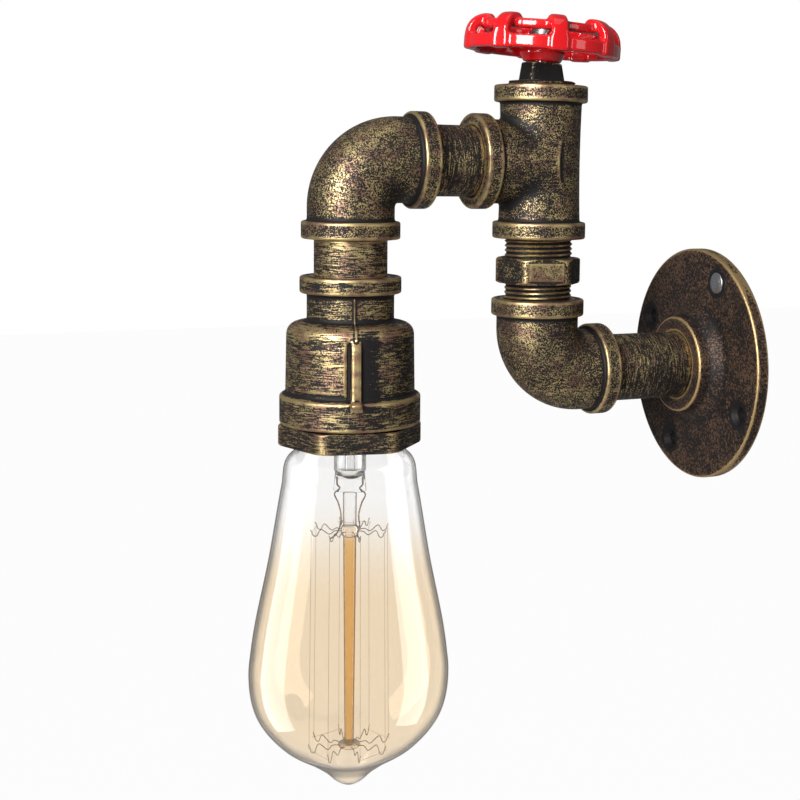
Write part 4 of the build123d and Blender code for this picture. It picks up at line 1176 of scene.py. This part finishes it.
def floorFinish():
    finish = Finish("floor")
    finish.set(Base_Color=(0.86, 0.86, 0.86, 1), Roughness=0.9)
    glow = finish.node("Emission", {}, {"Color": (1, 1, 1, 1), "Strength": 1.0})
    lit = Value(finish, finish.shader.outputs[0])
    surface = finish.node("MixShader", {}, {0: shownShare(finish) * room["glow"], 1: lit, 2: glow})
    end = finish.tree.nodes["Material Output"]
    finish.tree.links.new(surface.socket, end.inputs["Surface"])
    return finish.data


def addFloor():
    half = room["floorSize"] / 2
    corners = [(-half, -half), (half, -half), (half, half), (-half, half)]
    mesh = bpy.data.meshes.new("floor")
    mesh.from_pydata([(x, y, room["floorZ"]) for x, y in corners], [], [(0, 1, 2, 3)])
    floor = newObject("floor", mesh)
    mesh.materials.append(floorFinish())


surround()
addFloor()

# Camera, at the photo's viewing angle
camera = {"angles": (63.80, -6.31, 1.03), "focal": 1446.55, "centre": (540, 320),
          "frame": 800, "place": (503.83, -323.66, 82.27), "sensor": 36.0}


# Its right, its up and its back: azimuth turns it about Z, then elevation tips and roll tilts it
def cameraAxes():
    azimuth, elevation, roll = (math.radians(angle) for angle in camera["angles"])
    level = math.cos(elevation)
    ahead = np.array([-math.sin(azimuth) * level, math.cos(azimuth) * level, math.sin(elevation)])
    right = np.array([math.cos(azimuth), math.sin(azimuth), 0])
    up = np.cross(right, ahead)
    cosine, sine = math.cos(roll), math.sin(roll)
    return cosine * right + sine * up, cosine * up - sine * right, -ahead


def addCamera():
    data = bpy.data.cameras.new("camera")
    eye = newObject("camera", data)
    matrix = np.eye(4)
    matrix[:3, :3] = np.stack(cameraAxes(), -1)
    matrix[:3, 3] = np.array(camera["place"]) * mm
    eye.matrix_world = Matrix(matrix.tolist())
    size = camera["frame"]
    data.sensor_width = camera["sensor"]
    data.lens = camera["focal"] / size * camera["sensor"]
    data.shift_x = (size / 2 - camera["centre"][0]) / size
    data.shift_y = (camera["centre"][1] - size / 2) / size
    bpy.context.scene.camera = eye


addCamera()

# Lamps stand round the light: the angle to the right of the camera as seen from the light, the height
# angle, the distance, the width, the height, the brightness of the surface, and what takes the light
lamps = {
    "keySoftbox": (-26, 20, 1.4, 0.6, 0.9, 24.0, "metal"),
    "rightFill": (58, 12, 1.6, 0.4, 0.8, 2.6, "metal"),
    "topSoftbox": (0, 80, 1.3, 0.9, 0.9, 1.0, "metal"),
    "leftTall": (-88, 0, 1.2, 0.85, 2.5, 3.0, "glass"),
    "rightTall": (88, 0, 1.2, 0.85, 2.5, 3.0, "glass"),
    "wheelStrip": (-74, 10, 1.2, 0.10, 0.8, 26.0, "enamel"),
}
litOnly = {"glass": ("bulb_envelope", "stem_and_pinch", "centre_rod", "upper_bead", "lower_disc"),
           "enamel": ("handwheel_casting",)}


# The pieces that a lamp's light falls on: those named, or for metal all but the bulb's envelope
def litPieces(kind):
    lit = bpy.data.collections.new("lit_" + kind)
    for name in litOnly.get(kind, ("bulb_envelope",)):
        lit.objects.link(bpy.data.objects[name])
    if kind == "metal":
        lit.collection_objects[0].light_linking.link_state = "EXCLUDE"
    return lit


def addLamps():
    back = cameraAxes()[2]
    base = math.atan2(back[1], back[0])
    middle = np.array([0, -0.10, 0.0])
    lit = {kind: litPieces(kind) for kind in ("metal", "glass", "enamel")}
    for name, (angle, lift, distance, width, tall, brightness, kind) in lamps.items():
        around, lift = base + math.radians(angle), math.radians(lift)
        level = math.cos(lift)
        way = np.array([math.cos(around) * level, math.sin(around) * level, math.sin(lift)])
        data = bpy.data.lights.new(name, "AREA")
        data.shape, data.size, data.size_y = "RECTANGLE", width, tall
        data.energy = brightness * math.pi * width * tall
        lamp = newObject(name, data)
        lamp.location = middle + way * distance
        lamp.rotation_mode = "QUATERNION"
        lamp.rotation_quaternion = (-Vector(way)).to_track_quat("-Z", "Y")
        lamp.light_linking.receiver_collection = lit[kind]


addLamps()
print("room, camera and lamps done")

bpy.context.scene.view_settings.view_transform = "Standard"
